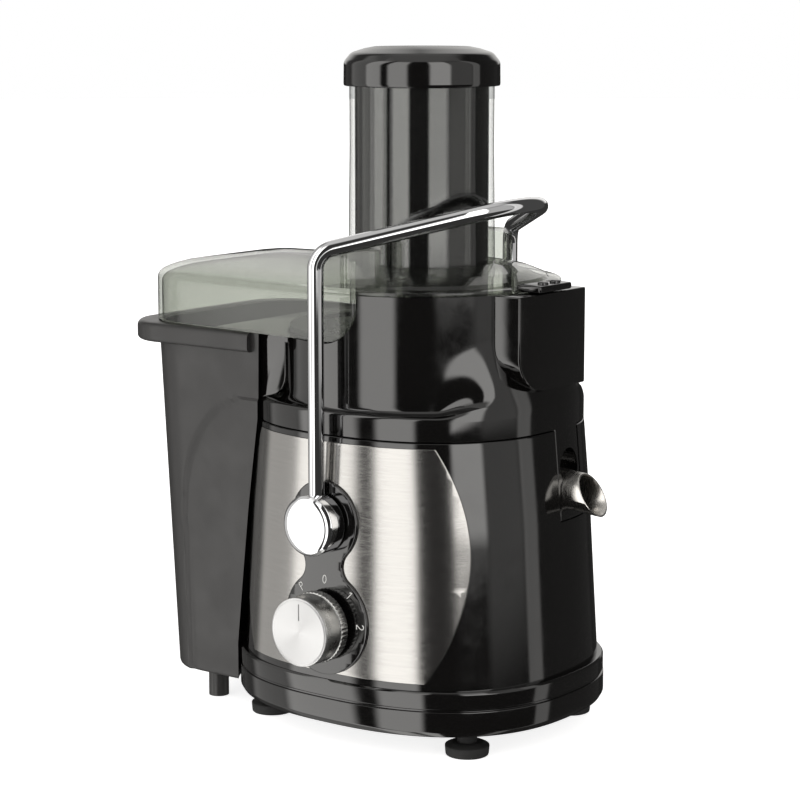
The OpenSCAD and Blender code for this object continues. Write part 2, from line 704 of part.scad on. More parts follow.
module arm_caps() color("silver") place() both_sides() translate([pivot_x, 0, pivot_z]) difference() {
    union() {
        along_y(pivot_cap_r, -(cap_face_y - 2), -cap_back_y);
        translate([0, -(cap_face_y - 2) + EPS, 0]) rotate([90, 0, 0])
            cylinder(r1 = pivot_cap_r, r2 = pivot_cap_r - 2, h = 2 + EPS);
    }
    along_y(axle_r + run, -(cap_face_y - 3.6), 0);
    translate([0, -leg_y, 0]) translate([0, 0, 7.9]) cylinder(r = tube_r + 0.05, h = 30);
}

// ---- Speed knob ----

module knob_body() color("#2b2b2b") place() translate([0, 0, knob_z]) difference() {
    union() {
        along_y(knob_r, -(knob_front - 1.2), -(knob_front - knob_h));
        for (a = [0 : 7.5 : 352.5]) rotate([0, a, 0])
            translate([knob_r - 0.3, -(knob_front - 2), -0.5]) cube([0.6, knob_h - 5, 1]);
    }
    along_y(spindle_r + seam, -(knob_front - 4), 0);
    along_y(knob_r - 2.5, -(knob_front - knob_h + 2), 0);
}

module knob_face() color("silver") place() translate([0, 0, knob_z]) difference() {
    translate([0, -(knob_front - 1.2), 0]) rotate([90, 0, 0]) cylinder(r1 = knob_r - 0.4, r2 = knob_r - 1.2, h = 1.2);
    translate([-0.8, -BIG / 2 - knob_front + 0.4, knob_r * 0.45]) cube([1.6, BIG / 2, knob_r * 0.4]);
}

module knob_spindle() color("silver") place() translate([0, 0, knob_z])
    along_y(spindle_r, -(knob_front - 4.1), -switch_back - 5);

// ---- Lid, chute and pusher ----

// Plan of the pulp side of the lid, drawn in by d
module hopper_plan(d) offset(delta = -d) hull() {
    r = 42;
    for (s = [-1, 1]) translate([-hopper_x + r, s * (hopper_half_y - r)]) circle(r = r, $fn = 64);
    translate([-6, -bowl_r + 0.7]) square([notch_x + 6, 2 * bowl_r - 1.4]);
}

module slab(z, d, t = 0.2) translate([0, 0, z]) linear_extrude(height = t) hopper_plan(d);

module hopper_form(d, z0) hull() {
    crown = rim_z + dome_rise - 1 - d;
    slab(z0, d);
    slab(rim_z - 1.5 - d, d);
    slab(rim_z + 1.5 - d, d + 1.6);
    slab(crown - 6, d + 12);
    slab(crown - 2.5, d + 30);
    slab(crown, d + 58);
}

module dome_form(d) rotate_extrude() polygon([[0, rim_z + 0.3 - 2 * d],
    [bowl_r - 0.3 - d * 2.8, rim_z + 0.3 - 2 * d], [bowl_r - 0.3 - d * 2.8, rim_z + 2.6 - d],
    [bowl_r - 8 - d, rim_z + 3.2 - d], [bowl_r - 9 - d, rim_z + 5 - d],
    [62 - d, rim_z + 9 - d], [chute_r + 3 - d, rim_z + dome_rise - d], [0, rim_z + dome_rise - d]]);

// Blocks that the arm presses on, cut to the arc that its tube sweeps
module arm_lug() intersection() {
    translate([pivot_x, BIG / 2, pivot_z]) rotate([90, 0, 0])
        cylinder(r = norm([10.3 - pivot_x, shoulder_z + 4.3 - pivot_z]) - tube_r + 1.2, h = BIG, $fn = 180);
    translate([0, 0, rim_z + 2]) linear_extrude(height = 60)
        polygon([[-12, -79], [6, -79], [18, -66], [18, -60], [-12, -60]]);
}

module lid_cover() color("#6d746c", 0.55) place() difference() {
    union() {
        difference() {
            union() {
                intersection() {
                    hopper_form(0, skirt_z);
                    union() {
                        side_profile(BIG / 2) notch_outline(gap);
                        translate([-BIG / 2, -BIG / 2, rim_z + 0.7]) cube([BIG, BIG, 60]);
                    }
                }
                dome_form(0);
                both_sides() arm_lug();
            }
            hopper_form(lid_wall, skirt_z - 1);
            dome_form(lid_wall);
        }
        // Tab over the block, with its two buttons
        difference() {
            union() {
                translate([bowl_r - 14, -tab_half_y, rim_z + 0.5]) cube([block_x + 2 - bowl_r + 14, 2 * tab_half_y, tab_t]);
                for (s = [-1, 1]) translate([block_x - 3, s * 6, rim_z + tab_t]) cylinder(r = 3, h = 2);
            }
            dome_form(lid_wall);
        }
    }
    translate([0, 0, rim_z - 60]) cylinder(r = chute_r + 0.9, h = 120);
}

module feed_chute() color("#5f665f", 0.55) place() translate([0, 0, feed_z]) rotate_extrude()
    polygon([[chute_bore / 2, 0], [chute_r, 0], [chute_r, rim_z + 2 - feed_z],
        [chute_r + 0.8, rim_z + 4 - feed_z], [chute_r + 0.8, rim_z + dome_rise - feed_z],
        [chute_r, chute_top - feed_z], [chute_bore / 2, chute_top - feed_z]]);

module pusher_cap() color("#141313") place() difference() {
    union() {
        translate([0, 0, cap_rim_z]) cylinder(r = cap_r, h = cap_h - 8);
        translate([0, 0, cap_top - 8 - EPS]) cylinder(r1 = cap_r, r2 = cap_r - 4, h = 5);
        translate([0, 0, cap_top - 3 - 2 * EPS]) cylinder(r1 = cap_r - 4, r2 = cap_r - 14, h = 3 + 2 * EPS);
    }
    translate([0, 0, cap_rim_z - 1]) cylinder(r = chute_r + gap, h = chute_top - cap_rim_z + 1 + gap);
    translate([0, 0, chute_top]) cylinder(r = chute_bore / 2 - 6, h = cap_h - cap_skirt - 5);
}

module pusher_body() color("#1a1a1a") place() {
    z0 = feed_z + 1;
    difference() {
        translate([0, 0, z0]) cylinder(r = chute_bore / 2 - gap, h = chute_top - z0 + gap - 0.05);
        translate([0, 0, z0 + 3]) cylinder(r = chute_bore / 2 - gap - 2.4, h = BIG);
    }
}

// ---- Pulp bin ----

// Plan of the bin: straight sides and a round end, at a draft of d
module bin_plan(d) {
    r = 34;
    hull() {
        for (s = [-1, 1]) translate([-(bin_x - grip_depth) + d + r, s * (bin_half_y - d * side_draft - r)])
            circle(r = r, $fn = 64);
        translate([-72, -bin_half_y + d * side_draft]) square([20, 2 * (bin_half_y - d * side_draft)]);
    }
}

// Space that the body takes from the bin: it leans in with the housing
module body_space(t) {
    out = 1.4 + t;
    loft([for (s = [[0, ring_x, ring_y], [ring_top, ring_x, ring_y], [knee_z, knee_x + 2, knee_y + 0.8],
        [seam_z, body_top_x + 1, body_top_y], [BIG, body_top_x + 1, body_top_y]])
        [for (p = oval(s[1] + out, s[2] + out)) [p[0], p[1], s[0]]]]);
}

module bin_solid(inset, z0) hull() {
    translate([0, 0, z0]) linear_extrude(height = 0.2) offset(delta = -inset) bin_plan(bin_draft);
    translate([0, 0, bin_top - 0.2]) linear_extrude(height = 0.2 + (inset > 0 ? 1 : 0))
        offset(delta = -inset) bin_plan(0);
}

module pulp_bin() color("#2c2b2b") place() difference() {
    union() {
        difference() {
            bin_solid(0, bin_floor);
            body_space(0);
        }
        // Grip band
        translate([0, 0, bin_top - grip_h]) linear_extrude(height = grip_h) difference() {
            hull() {
                for (s = [-1, 1]) translate([-bin_x + 30, s * (bin_half_y + 3.5 - 30)]) circle(r = 30, $fn = 64);
                translate([-75, -bin_half_y - 3.5]) square([6, 2 * bin_half_y + 7]);
            }
            offset(delta = -1) bin_plan(0.6);
            translate([-75, -bin_half_y + 1]) square([60, 2 * bin_half_y - 2]);
        }
    }
    difference() {
        bin_solid(bin_wall, bin_floor + bin_wall);
        body_space(bin_wall);
    }
    body_space(0);
    // The wall next to the body is lower, so that it passes under the pulp deck
    translate([-118, -62.5, inner_top]) cube([75, 125, 60]);
}

module bin_feet() color("#1a1a1a") place() for (s = [-1, 1]) translate([-118, s * 45, 0])
    cylinder(r = 6, h = bin_floor - 0.05);

base_ring();
bottom_cover();
rubber_feet();
cover_screws();
motor_housing();
front_panel();
control_bezel();
arm_axles();
deck_plate();
shaft_seal();
motor_top_bracket();
motor_bottom_bracket();
stator_core();
field_coils();
top_bearing();
bottom_bearing();
brush_holders();
carbon_brushes();
mount_bushes();
motor_bolts();
speed_switch();
control_board();
interlock_switch();
cord_gland();
juice_bowl();
juice_spout();
motor_shaft();
armature_core();
commutator();
cooling_fan();
drive_coupling();
basket_hub();
grater_disc();
strainer_cone();
basket_rim();
arm_tube();
arm_caps();
knob_body();
knob_face();
knob_spindle();
lid_cover();
feed_chute();
pusher_cap();
pusher_body();
pulp_bin();
bin_feet();
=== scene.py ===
"""Looks of the centrifugal juicer: procedural materials, detailed pieces, studio, camera.

Lengths in this file are millimetres about the motor's spindle axis (+Z up, -Y front,
+X juice side, -X pulp side) until place() turns them into metres in the row frame.
"""
import math
from math import cos, radians, sin

import bmesh
import bpy
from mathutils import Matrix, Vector


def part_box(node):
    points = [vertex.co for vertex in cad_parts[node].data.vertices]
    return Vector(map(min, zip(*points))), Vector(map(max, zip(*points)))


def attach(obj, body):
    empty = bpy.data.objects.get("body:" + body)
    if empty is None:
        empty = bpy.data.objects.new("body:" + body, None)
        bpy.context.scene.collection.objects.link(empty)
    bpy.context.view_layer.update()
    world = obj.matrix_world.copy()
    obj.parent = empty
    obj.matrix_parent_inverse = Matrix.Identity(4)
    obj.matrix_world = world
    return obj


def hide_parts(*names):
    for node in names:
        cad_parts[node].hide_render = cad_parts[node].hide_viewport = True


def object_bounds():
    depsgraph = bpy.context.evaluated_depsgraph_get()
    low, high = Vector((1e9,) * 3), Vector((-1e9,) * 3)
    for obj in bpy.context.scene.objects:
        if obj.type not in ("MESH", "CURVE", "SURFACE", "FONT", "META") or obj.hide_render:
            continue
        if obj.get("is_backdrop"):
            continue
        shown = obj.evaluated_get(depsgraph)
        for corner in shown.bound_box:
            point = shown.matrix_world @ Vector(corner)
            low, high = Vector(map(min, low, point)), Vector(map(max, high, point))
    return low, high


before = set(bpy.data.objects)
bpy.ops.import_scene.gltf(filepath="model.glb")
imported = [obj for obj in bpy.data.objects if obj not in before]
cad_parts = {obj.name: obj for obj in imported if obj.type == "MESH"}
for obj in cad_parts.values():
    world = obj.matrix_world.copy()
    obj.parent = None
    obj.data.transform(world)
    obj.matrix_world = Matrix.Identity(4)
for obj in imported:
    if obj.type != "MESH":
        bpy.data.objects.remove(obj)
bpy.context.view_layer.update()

MM = 0.001
TAU = 2 * math.pi
shaft_low, shaft_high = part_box("motor_shaft")
AXIS = Vector(((shaft_low.x + shaft_high.x) / 2, (shaft_low.y + shaft_high.y) / 2, 0))


def place(p):
    """A point in millimetres about the spindle axis, in metres in the row frame."""
    return AXIS + Vector(p) * MM


def span(node):
    """Lowest and highest corner of a CAD node, in millimetres about the spindle axis."""
    low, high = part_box(node)
    return (low - AXIS) / MM, (high - AXIS) / MM


# ---- Sizes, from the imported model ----

ring_low, ring_high = span("base_ring")
house_high = span("motor_housing")[1]
bowl_low, bowl_high = span("juice_bowl")
panel_low, panel_high = span("front_panel")
cap_low, cap_high = span("pusher_cap")
chute_low, chute_high = span("feed_chute")
lid_low = span("lid_cover")[0]
bin_low, bin_high = span("pulp_bin")
knob_low, knob_high = span("knob_body")
face_low, face_high = span("knob_face")
arm_cap_low, arm_cap_high = span("arm_caps")
plunger_low, plunger_high = span("pusher_body")

FOOT_Z, RING_TOP, SEAM_Z, RIM_Z = ring_low.z, ring_high.z, house_high.z, bowl_high.z
BODY_X, BODY_Y = house_high.x, house_high.y
RING_X, RING_Y = ring_high.x, ring_high.y
LEAN, END_LEAN = 5.8, 10
POWER = 2.43
KNEE_SOFT = 14
KNEE_Z = RING_TOP + 0.625 * (SEAM_Z - RING_TOP)
TOP_X, TOP_Y = BODY_X - END_LEAN, BODY_Y - LEAN
KNEE_X, KNEE_Y = TOP_X + 0.48 * END_LEAN, TOP_Y + 0.36 * LEAN
CAP_TOP = cap_high.z
CHUTE_TOP = chute_high.z
CHUTE_IN, CHUTE_R = 38, 41
# Beyond the object on the pulp side, and on the others
FAR_LEFT, FAR = 260, 150
PIVOT_X = (arm_cap_low.x + arm_cap_high.x) / 2
PIVOT_Z = (arm_cap_low.z + arm_cap_high.z) / 2
PIVOT_R = (arm_cap_high.x - arm_cap_low.x) / 2
KNOB_Z = (face_low.z + face_high.z) / 2
KNOB_R = (knob_high.x - knob_low.x) / 2
BIN_DEPTH = 12
DECK_Z = bin_high.z - 0.4


# ---- Plane outlines ----

def signed_power(v, p):
    return math.copysign(abs(v) ** p, v)


def oval(a, b, steps=224):
    """The housing's squarish oval, with half sizes a and b."""
    return [(a * signed_power(cos(TAU * i / steps), 2 / POWER),
             b * signed_power(sin(TAU * i / steps), 2 / POWER)) for i in range(steps)]


def ease(t):
    t = min(1.0, max(0.0, t))
    return t * t * (3 - 2 * t)


def half_sizes(z):
    """Half sizes of the housing at height z, with the knee softened."""
    def lean(foot, knee, top):
        below = foot + (knee - foot) * (z - RING_TOP) / (KNEE_Z - RING_TOP)
        above = knee + (top - knee) * (z - KNEE_Z) / (SEAM_Z - KNEE_Z)
        return below + (above - below) * ease((z - KNEE_Z + KNEE_SOFT) / (2 * KNEE_SOFT))
    return lean(BODY_X, KNEE_X, TOP_X), lean(BODY_Y, KNEE_Y, TOP_Y)


def front_y(x, z, out=0.0):
    """How far in front of the spindle the housing's surface is at (x, z), moved out by out."""
    a, b = half_sizes(z)
    a, b = a + out, b + out
    return b * (1 - min(0.999, abs(x / a)) ** POWER) ** (1 / POWER)


def rounded(corners, steps=5):
    """A closed outline, with each corner (x, y, radius) turned into an arc."""
    made = []
    for i, (x, y, r) in enumerate(corners):
        here = Vector((x, y))
        back = (Vector(corners[i - 1][:2]) - here).normalized()
        ahead = (Vector(corners[(i + 1) % len(corners)][:2]) - here).normalized()
        half = back.angle(ahead) / 2
        if r <= 0 or half > 1.55:
            made.append((x, y))
            continue
        middle = here + (back + ahead).normalized() * (r / sin(half))
        start = here + back * (r / math.tan(half)) - middle
        stop = here + ahead * (r / math.tan(half)) - middle
        turn = start.angle(stop)
        for k in range(steps + 1):
            t = k / steps
            p = middle + (start * sin((1 - t) * turn) + stop * sin(t * turn)) / sin(turn)
            made.append((p.x, p.y))
    return made


def hull_of(points):
    """Convex hull, anticlockwise."""
    points = sorted(set(points))

    def half(seq):
        made = []
        for p in seq:
            while len(made) > 1 and ((made[-1][0] - made[-2][0]) * (p[1] - made[-2][1])
                                     - (made[-1][1] - made[-2][1]) * (p[0] - made[-2][0])) <= 0:
                made.pop()
            made.append(p)
        return made[:-1]
    return half(points) + half(points[::-1])


def evenly(outline, count):
    """A closed outline resampled to count points an even way apart, from its +X crossing on."""
    start = max(range(len(outline)), key=lambda i: outline[i][0] - 0.001 * abs(outline[i][1]))
    outline = outline[start:] + outline[:start]
    loop = outline + [outline[0]]
    lengths = [math.dist(a, b) for a, b in zip(loop, loop[1:])]
    total, made, k, done = sum(lengths), [], 0, 0.0
    for i in range(count):
        want = total * i / count
        while done + lengths[k] < want:
            done += lengths[k]
            k += 1
        t = (want - done) / lengths[k]
        made.append((loop[k][0] + t * (loop[k + 1][0] - loop[k][0]),
                     loop[k][1] + t * (loop[k + 1][1] - loop[k][1])))
    return made


def arc(cx, cy, r, a0, a1, steps):
    return [(cx + r * cos(radians(a0 + (a1 - a0) * i / steps)),
             cy + r * sin(radians(a0 + (a1 - a0) * i / steps))) for i in range(steps + 1)]


def round_end(x, y, r, *inner, count=300):
    """Plan of a box with two round corners about (x, y) and (x, -y), on to the inner points."""
    points = []
    for s in (-1, 1):
        points += arc(x, s * y, r, 0, 356, 90) + [(u, s * v) for u, v in inner]
    return evenly(hull_of(points), count)


# ---- Mesh makers ----

def new_object(name, data):
    made = bpy.data.objects.new(name, data)
    bpy.context.scene.collection.objects.link(made)
    return made


def mesh_object(name, points, faces):
    """A new object from points in spindle millimetres, its faces turned outward."""
    mesh = bpy.data.meshes.new(name)
    mesh.from_pydata([place(p) for p in points], [], faces)
    bm = bmesh.new()
    bm.from_mesh(mesh)
    bmesh.ops.recalc_face_normals(bm, faces=bm.faces)
    bm.to_mesh(mesh)
    bm.free()
    return new_object(name, mesh)


def skin(name, rings, closed=False):
    """A skin over rings of equal length; its ends are capped, or joined if closed."""
    n, count = len(rings[0]), len(rings)
    faces = [(k * n + i, k * n + (i + 1) % n, ((k + 1) % count) * n + (i + 1) % n, ((k + 1) % count) * n + i)
             for k in range(count if closed else count - 1) for i in range(n)]
    if not closed:
        faces += [tuple(range(n)), tuple((count - 1) * n + i for i in range(n))]
    return mesh_object(name, [p for ring in rings for p in ring], faces)


def lathe(name, outline, to_point, steps=128, closed=False):
    """Turns an outline of (radius, height) about an axis; to_point(r, angle, height) places it."""
    points, rows = [], []
    for r, h in outline:
        if r < 1e-6:
            rows.append([len(points)])
            points.append(to_point(0, 0, h))
        else:
            rows.append(list(range(len(points), len(points) + steps)))
            points += [to_point(r, TAU * i / steps, h) for i in range(steps)]
    faces = []
    pairs = list(zip(rows, rows[1:])) + ([(rows[-1], rows[0])] if closed else [])
    for a, b in pairs:
        for i in range(steps):
            j = (i + 1) % steps
            if len(a) == 1 and len(b) > 1:
                faces.append((a[0], b[i], b[j]))
            elif len(b) == 1 and len(a) > 1:
                faces.append((a[i], b[0], a[j]))
            elif len(a) > 1:
                faces.append((a[i], b[i], b[j], a[j]))
    return mesh_object(name, points, faces)


def upright(x=0, y=0, z=0):
    return lambda r, a, h: (x + r * cos(a), y + r * sin(a), z + h)


def facing(x, z, side=-1):
    """Turned about an axis along Y through (x, z); height is the distance from the spindle."""
    return lambda r, a, h: (x + r * cos(a), side * h, z + r * sin(a))


def rod(r, low, high):
    """The outline of a plain cylinder, for lathe."""
    return [(0, low), (r, low), (r, high), (0, high)]


def front_view(u, v, h):
    """Puts a point of a front view at depth h."""
    return u, h, v


def oval_sweep(name, outline, half):
    """Runs a closed outline of (out, z) round the oval whose half sizes half(z) gives."""
    rings = []
    for out, z in outline:
        a, b = half(z)
        rings.append([(x, y, z) for x, y in oval(a + out, b + out)])
    return skin(name, rings, closed=True)


def tube(name, path, r, sides=32):
    """A round tube along points, with its end faces closed."""
    path = [Vector(p) for p in path]
    rings, side = [], None
    for i, p in enumerate(path):
        ahead = (path[min(i + 1, len(path) - 1)] - path[max(i - 1, 0)]).normalized()
        side = ahead.orthogonal() if side is None else side
        side = (side - ahead * side.dot(ahead)).normalized()
        up = ahead.cross(side)
        rings.append([p + r * (cos(TAU * k / sides) * side + sin(TAU * k / sides) * up)
                      for k in range(sides)])
    return skin(name, rings)


def block(name, low, high, bevel=0.0, segments=3):
    points = [(x, y, z) for x in (low[0], high[0]) for y in (low[1], high[1]) for z in (low[2], high[2])]
    faces = [(0, 1, 3, 2), (4, 6, 7, 5), (0, 4, 5, 1), (2, 3, 7, 6), (0, 2, 6, 4), (1, 5, 7, 3)]
    made = mesh_object(name, points, faces)
    if bevel:
        soften(made, bevel, segments)
    return made


def extruded(name, outline, to_point, h0, h1):
    """A plane outline given thickness from h0 to h1; to_point(u, v, h) places it."""
    return skin(name, [[to_point(u, v, h) for u, v in outline] for h in (h0, h1)])


def bake(made):
    """Turns an object's modifiers into its mesh."""
    graph = bpy.context.evaluated_depsgraph_get()
    mesh = bpy.data.meshes.new_from_object(made.evaluated_get(graph))
    made.modifiers.clear()
    made.data = mesh
    return made


def soften(made, width, segments=3, angle=35):
    """Rounds the edges of an object."""
    step = made.modifiers.new("soften", "BEVEL")
    step.width, step.segments, step.limit_method = width * MM, segments, "ANGLE"
    step.angle_limit = radians(angle)
    step.harden_normals = False
    return bake(made)


def combine(made, other, how):
    """Cuts, joins or crosses an object with another one, which is used up."""
    step = made.modifiers.new("combine", "BOOLEAN")
    step.operation, step.object, step.solver = how, other, "EXACT"
    bake(made)
    bpy.data.objects.remove(other)
    return made


def cut(made, other):
    return combine(made, other, "DIFFERENCE")


def add(made, other):
    return combine(made, other, "UNION")


def joined(name, parts):
    """Several objects as one piece."""
    bm = bmesh.new()
    for part in parts:
        bm.from_mesh(part.data)
        bpy.data.objects.remove(part)
    mesh = bpy.data.meshes.new(name)
    bm.to_mesh(mesh)
    bm.free()
    return new_object(name, mesh)


def shade(made, angle=32):
    made.data.polygons.foreach_set("use_smooth", [True] * len(made.data.polygons))
    made.data.set_sharp_from_angle(angle=radians(angle))


def piece(made, name, body, slot, *nodes, look=None, angle=32):
    """Finishes a piece: its name, its body, the look its slot picks unless one is given, and the CAD nodes it
    stands for, which it hides.
    """
    made.name = made.data.name = name
    made.data.materials.clear()
    made.data.materials.append(look or LOOKS[slot])
    shade(made, angle)
    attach(made, body)
    if nodes:
        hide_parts(*nodes)
    return made


# ---- Materials ----

def add_node(tree, kind, inputs, settings):
    """A new shader node; each input gets a value, or the socket that feeds it."""
    made = tree.nodes.new("ShaderNode" + kind)
    for key, value in settings.items():
        setattr(made, key, value)
    for key, value in dict(inputs).items():
        if isinstance(value, bpy.types.NodeSocket):
            tree.links.new(value, made.inputs[key])
        else:
            made.inputs[key].default_value = value
    return made


class Look:
    """A material under construction around one Principled shader."""

    def __init__(self, name, colour, rough, metal=0.0, ior=1.5):
        self.material = bpy.data.materials.new(name)
        self.material.use_nodes = True
        self.tree = self.material.node_tree
        self.shader = self.tree.nodes["Principled BSDF"]
        self.out = self.tree.nodes["Material Output"]
        self.colour, self.rough = colour, rough
        self.shader.inputs["Base Color"].default_value = (*colour, 1)
        self.shader.inputs["Roughness"].default_value = rough
        self.shader.inputs["Metallic"].default_value = metal
        self.shader.inputs["IOR"].default_value = ior
        self.where = self.node("TexCoord").outputs["Object"]
        self.height = None

    def node(self, kind, inputs=(), **settings):
        return add_node(self.tree, kind, inputs, settings)

    def stretched(self, scale):
        return self.node("Mapping", {"Vector": self.where, "Scale": scale}).outputs["Vector"]

    def noise(self, scale, detail=3.0, stretch=None, rough=0.55):
        vector = self.stretched(stretch) if stretch else self.where
        return self.node("TexNoise", {"Vector": vector, "Scale": scale, "Detail": detail,
                                                "Roughness": rough}).outputs["Fac"]

    def ranged(self, value, low, high, start=0.3, stop=0.7):
        return self.node("MapRange", {"Value": value, "From Min": start, "From Max": stop,
                                                "To Min": low, "To Max": high}).outputs["Result"]

    def tint(self, value, low, high):
        """Base colour from low to high by a value from 0 to 1."""
        mixed = self.node("Mix", {"Factor": value}, data_type="RGBA")
        mixed.inputs[6].default_value = (*low, 1)
        mixed.inputs[7].default_value = (*high, 1)
        self.tree.links.new(mixed.outputs[2], self.shader.inputs["Base Color"])
        return self

    def shaded(self, value, spread):
        """Base colour that varies by spread either way."""
        low = tuple(c * (1 - spread) for c in self.colour)
        high = tuple(min(1, c * (1 + spread)) for c in self.colour)
        return self.tint(value, low, high)

    def worn(self, value, spread):
        """Roughness that varies by spread either way."""
        made = self.ranged(value, max(0.01, self.rough - spread), self.rough + spread)
        self.tree.links.new(made, self.shader.inputs["Roughness"])
        return self

    def bumped(self, value, depth, strength=1.0):
        """Relief of depth millimetres; several calls stack."""
        inputs = {"Height": value, "Distance": depth * MM, "Strength": strength}
        if self.height is not None:
            inputs["Normal"] = self.height
        self.height = self.node("Bump", inputs).outputs["Normal"]
        self.tree.links.new(self.height, self.shader.inputs["Normal"])
        return self


def gloss_plastic(name, colour, rough=0.08):
    """Polished ABS: faint flow waviness, fine wipe marks, a trace of dust in the sheen."""
    look = Look(name, colour, rough, ior=1.8)
    look.shaded(look.noise(9, 2), 0.25)
    look.worn(look.noise(70, 5, rough=0.7), 0.035)
    look.bumped(look.noise(16, 1), 0.10, 0.35)
    look.bumped(look.noise(900, 2), 0.004, 0.4)
    return look.material


def matt_plastic(name, colour, rough=0.5, grain=1500.0, depth=0.03):
    """Moulded plastic with a spark-eroded grain."""
    look = Look(name, colour, rough, ior=1.49)
    look.shaded(look.noise(12, 3), 0.14)
    look.worn(look.noise(55, 4), 0.07)
    cells = look.node("TexVoronoi", {"Vector": look.where, "Scale": grain}).outputs["Distance"]
    look.bumped(cells, depth, 0.5)
    look.bumped(look.noise(14, 1), 0.15, 0.25)
    return look.material


def rubber(name, colour):
    look = Look(name, colour, 0.72, ior=1.45)
    look.shaded(look.noise(30, 4), 0.3)
    look.worn(look.noise(120, 3), 0.1)
    look.bumped(look.noise(1400, 2), 0.03, 0.6)
    return look.material


def plain_metal(name, colour, rough, grain=400.0, spread=0.06, depth=0.006):
    look = Look(name, colour, rough, metal=1.0)
    look.shaded(look.noise(25, 3), spread)
    look.worn(look.noise(160, 4), rough * 0.3)
    look.bumped(look.noise(grain, 3), depth, 0.5)
    return look.material


def brushed_metal(name, colour, rough, stretch, lines=1.0, depth=0.012):
    """Sheet with a fine grain that runs along one axis."""
    look = Look(name, colour, rough, metal=1.0)
    coarse = look.noise(42 * lines, 4, stretch)
    fine = look.noise(190 * lines, 3, stretch)
    look.shaded(coarse, 0.07)
    look.worn(fine, 0.05)
    look.bumped(fine, depth, 0.5)
    look.bumped(look.noise(11, 1), 0.05, 0.15)
    return look.material


RING_PITCH = 0.35


def turned_metal(name, colour, rough):
    """A face cut on a lathe: ring bumps about the knob's axis and an anisotropic sheen that runs round them,
    plus a painted highlight of bright and dark wedges in the base colour.
    """
    look = Look(name, colour, rough, metal=1.0)
    middle = look.node("Mapping", {"Vector": look.where,
                                             "Location": -place((0, 0, KNOB_Z))}).outputs["Vector"]
    parts = look.node("SeparateXYZ", {"Vector": middle})
    turn = look.node("Math", {0: parts.outputs["X"], 1: parts.outputs["Z"]}, operation="ARCTAN2")
    flat = look.node("CombineXYZ", {"X": parts.outputs["X"], "Z": parts.outputs["Z"]})
    far = look.node("VectorMath", {0: flat.outputs["Vector"]}, operation="LENGTH").outputs["Value"]
    rings = look.node("Math", {0: far, 1: TAU / (RING_PITCH * MM)}, operation="MULTIPLY")
    wave = look.node("Math", {0: rings.outputs["Value"]}, operation="SINE").outputs["Value"]
    look.bumped(wave, 0.004, 0.5)
    # Painted highlight: the base colour turns lighter and darker in wedges around the face, painted in to
    # stand for the turned face's conic sheen.
    painted_sheen_wedges = look.node("Math", {0: turn.outputs["Value"], 1: 2.0}, operation="MULTIPLY")
    painted_sheen_wedges = look.node("Math", {0: painted_sheen_wedges.outputs["Value"], 1: 0.9}, operation="ADD")
    painted_sheen_wedges = look.node("Math", {0: painted_sheen_wedges.outputs["Value"]}, operation="COSINE").outputs["Value"]
    look.shaded(look.ranged(painted_sheen_wedges, 0.0, 1.0, -1.0, 1.0), 0.10)
    look.shader.inputs["Anisotropic"].default_value = 0.75
    around = look.node("Tangent", direction_type="RADIAL", axis="Y").outputs["Tangent"]
    look.tree.links.new(around, look.shader.inputs["Tangent"])
    return look.material


def clear_plastic(name, through, body, share):
    """Smoky transparent plastic: tinted sight through the wall, a clear gloss on it."""
    look = Look(name, body, 0.05, ior=1.5)
    look.shaded(look.noise(8, 2), 0.12)
    look.worn(look.noise(80, 4), 0.02)
    look.bumped(look.noise(13, 1), 0.12, 0.3)
    see = look.node("BsdfTransparent", {"Color": (*through, 1)}).outputs["BSDF"]
    edge = look.node("LayerWeight", {"Blend": 0.25}).outputs["Facing"]
    solid = look.ranged(edge, share, 0.92, 0.55, 1.0)
    mixed = look.node("MixShader", {"Fac": solid, 1: see, 2: look.shader.outputs["BSDF"]})
    sheen = look.node("BsdfGlossy", {"Roughness": 0.04, "Normal": look.height}).outputs["BSDF"]
    grazing = look.node("LayerWeight", {"Blend": 0.5}).outputs["Facing"]
    grazing = look.node("Math", {0: grazing, 1: 5.0}, operation="POWER").outputs["Value"]
    strength = look.ranged(grazing, 0.05, 0.9, 0.0, 1.0)
    coated = look.node("MixShader", {"Fac": strength, 1: mixed.outputs["Shader"], 2: sheen})
    look.tree.links.new(coated.outputs["Shader"], look.out.inputs["Surface"])
    return look.material


def wound_copper(name):
    look = Look(name, (0.55, 0.20, 0.07), 0.3, metal=1.0)
    wire = look.node("TexWave", {"Vector": look.where, "Scale": 240.0, "Distortion": 0.4},
                     bands_direction="DIAGONAL").outputs["Fac"]
    look.tint(wire, (0.25, 0.07, 0.02), (0.62, 0.25, 0.09))
    look.bumped(wire, 0.25, 0.7)
    return look.material


def stacked_steel(name):
    look = Look(name, (0.30, 0.30, 0.31), 0.42, metal=1.0)
    sheets = look.node("TexWave", {"Vector": look.where, "Scale": 320.0},
                       bands_direction="Z").outputs["Fac"]
    look.tint(sheets, (0.12, 0.12, 0.13), (0.36, 0.36, 0.37))
    look.bumped(sheets, 0.05, 0.6)
    return look.material


def circuit_green(name):
    look = Look(name, (0.02, 0.16, 0.06), 0.35)
    tracks = look.node("TexBrick", {"Vector": look.where, "Scale": 90.0,
                                              "Mortar Size": 0.06}).outputs["Fac"]
    look.tint(tracks, (0.012, 0.11, 0.04), (0.10, 0.30, 0.12))
    look.bumped(tracks, 0.04, 0.5)
    return look.material


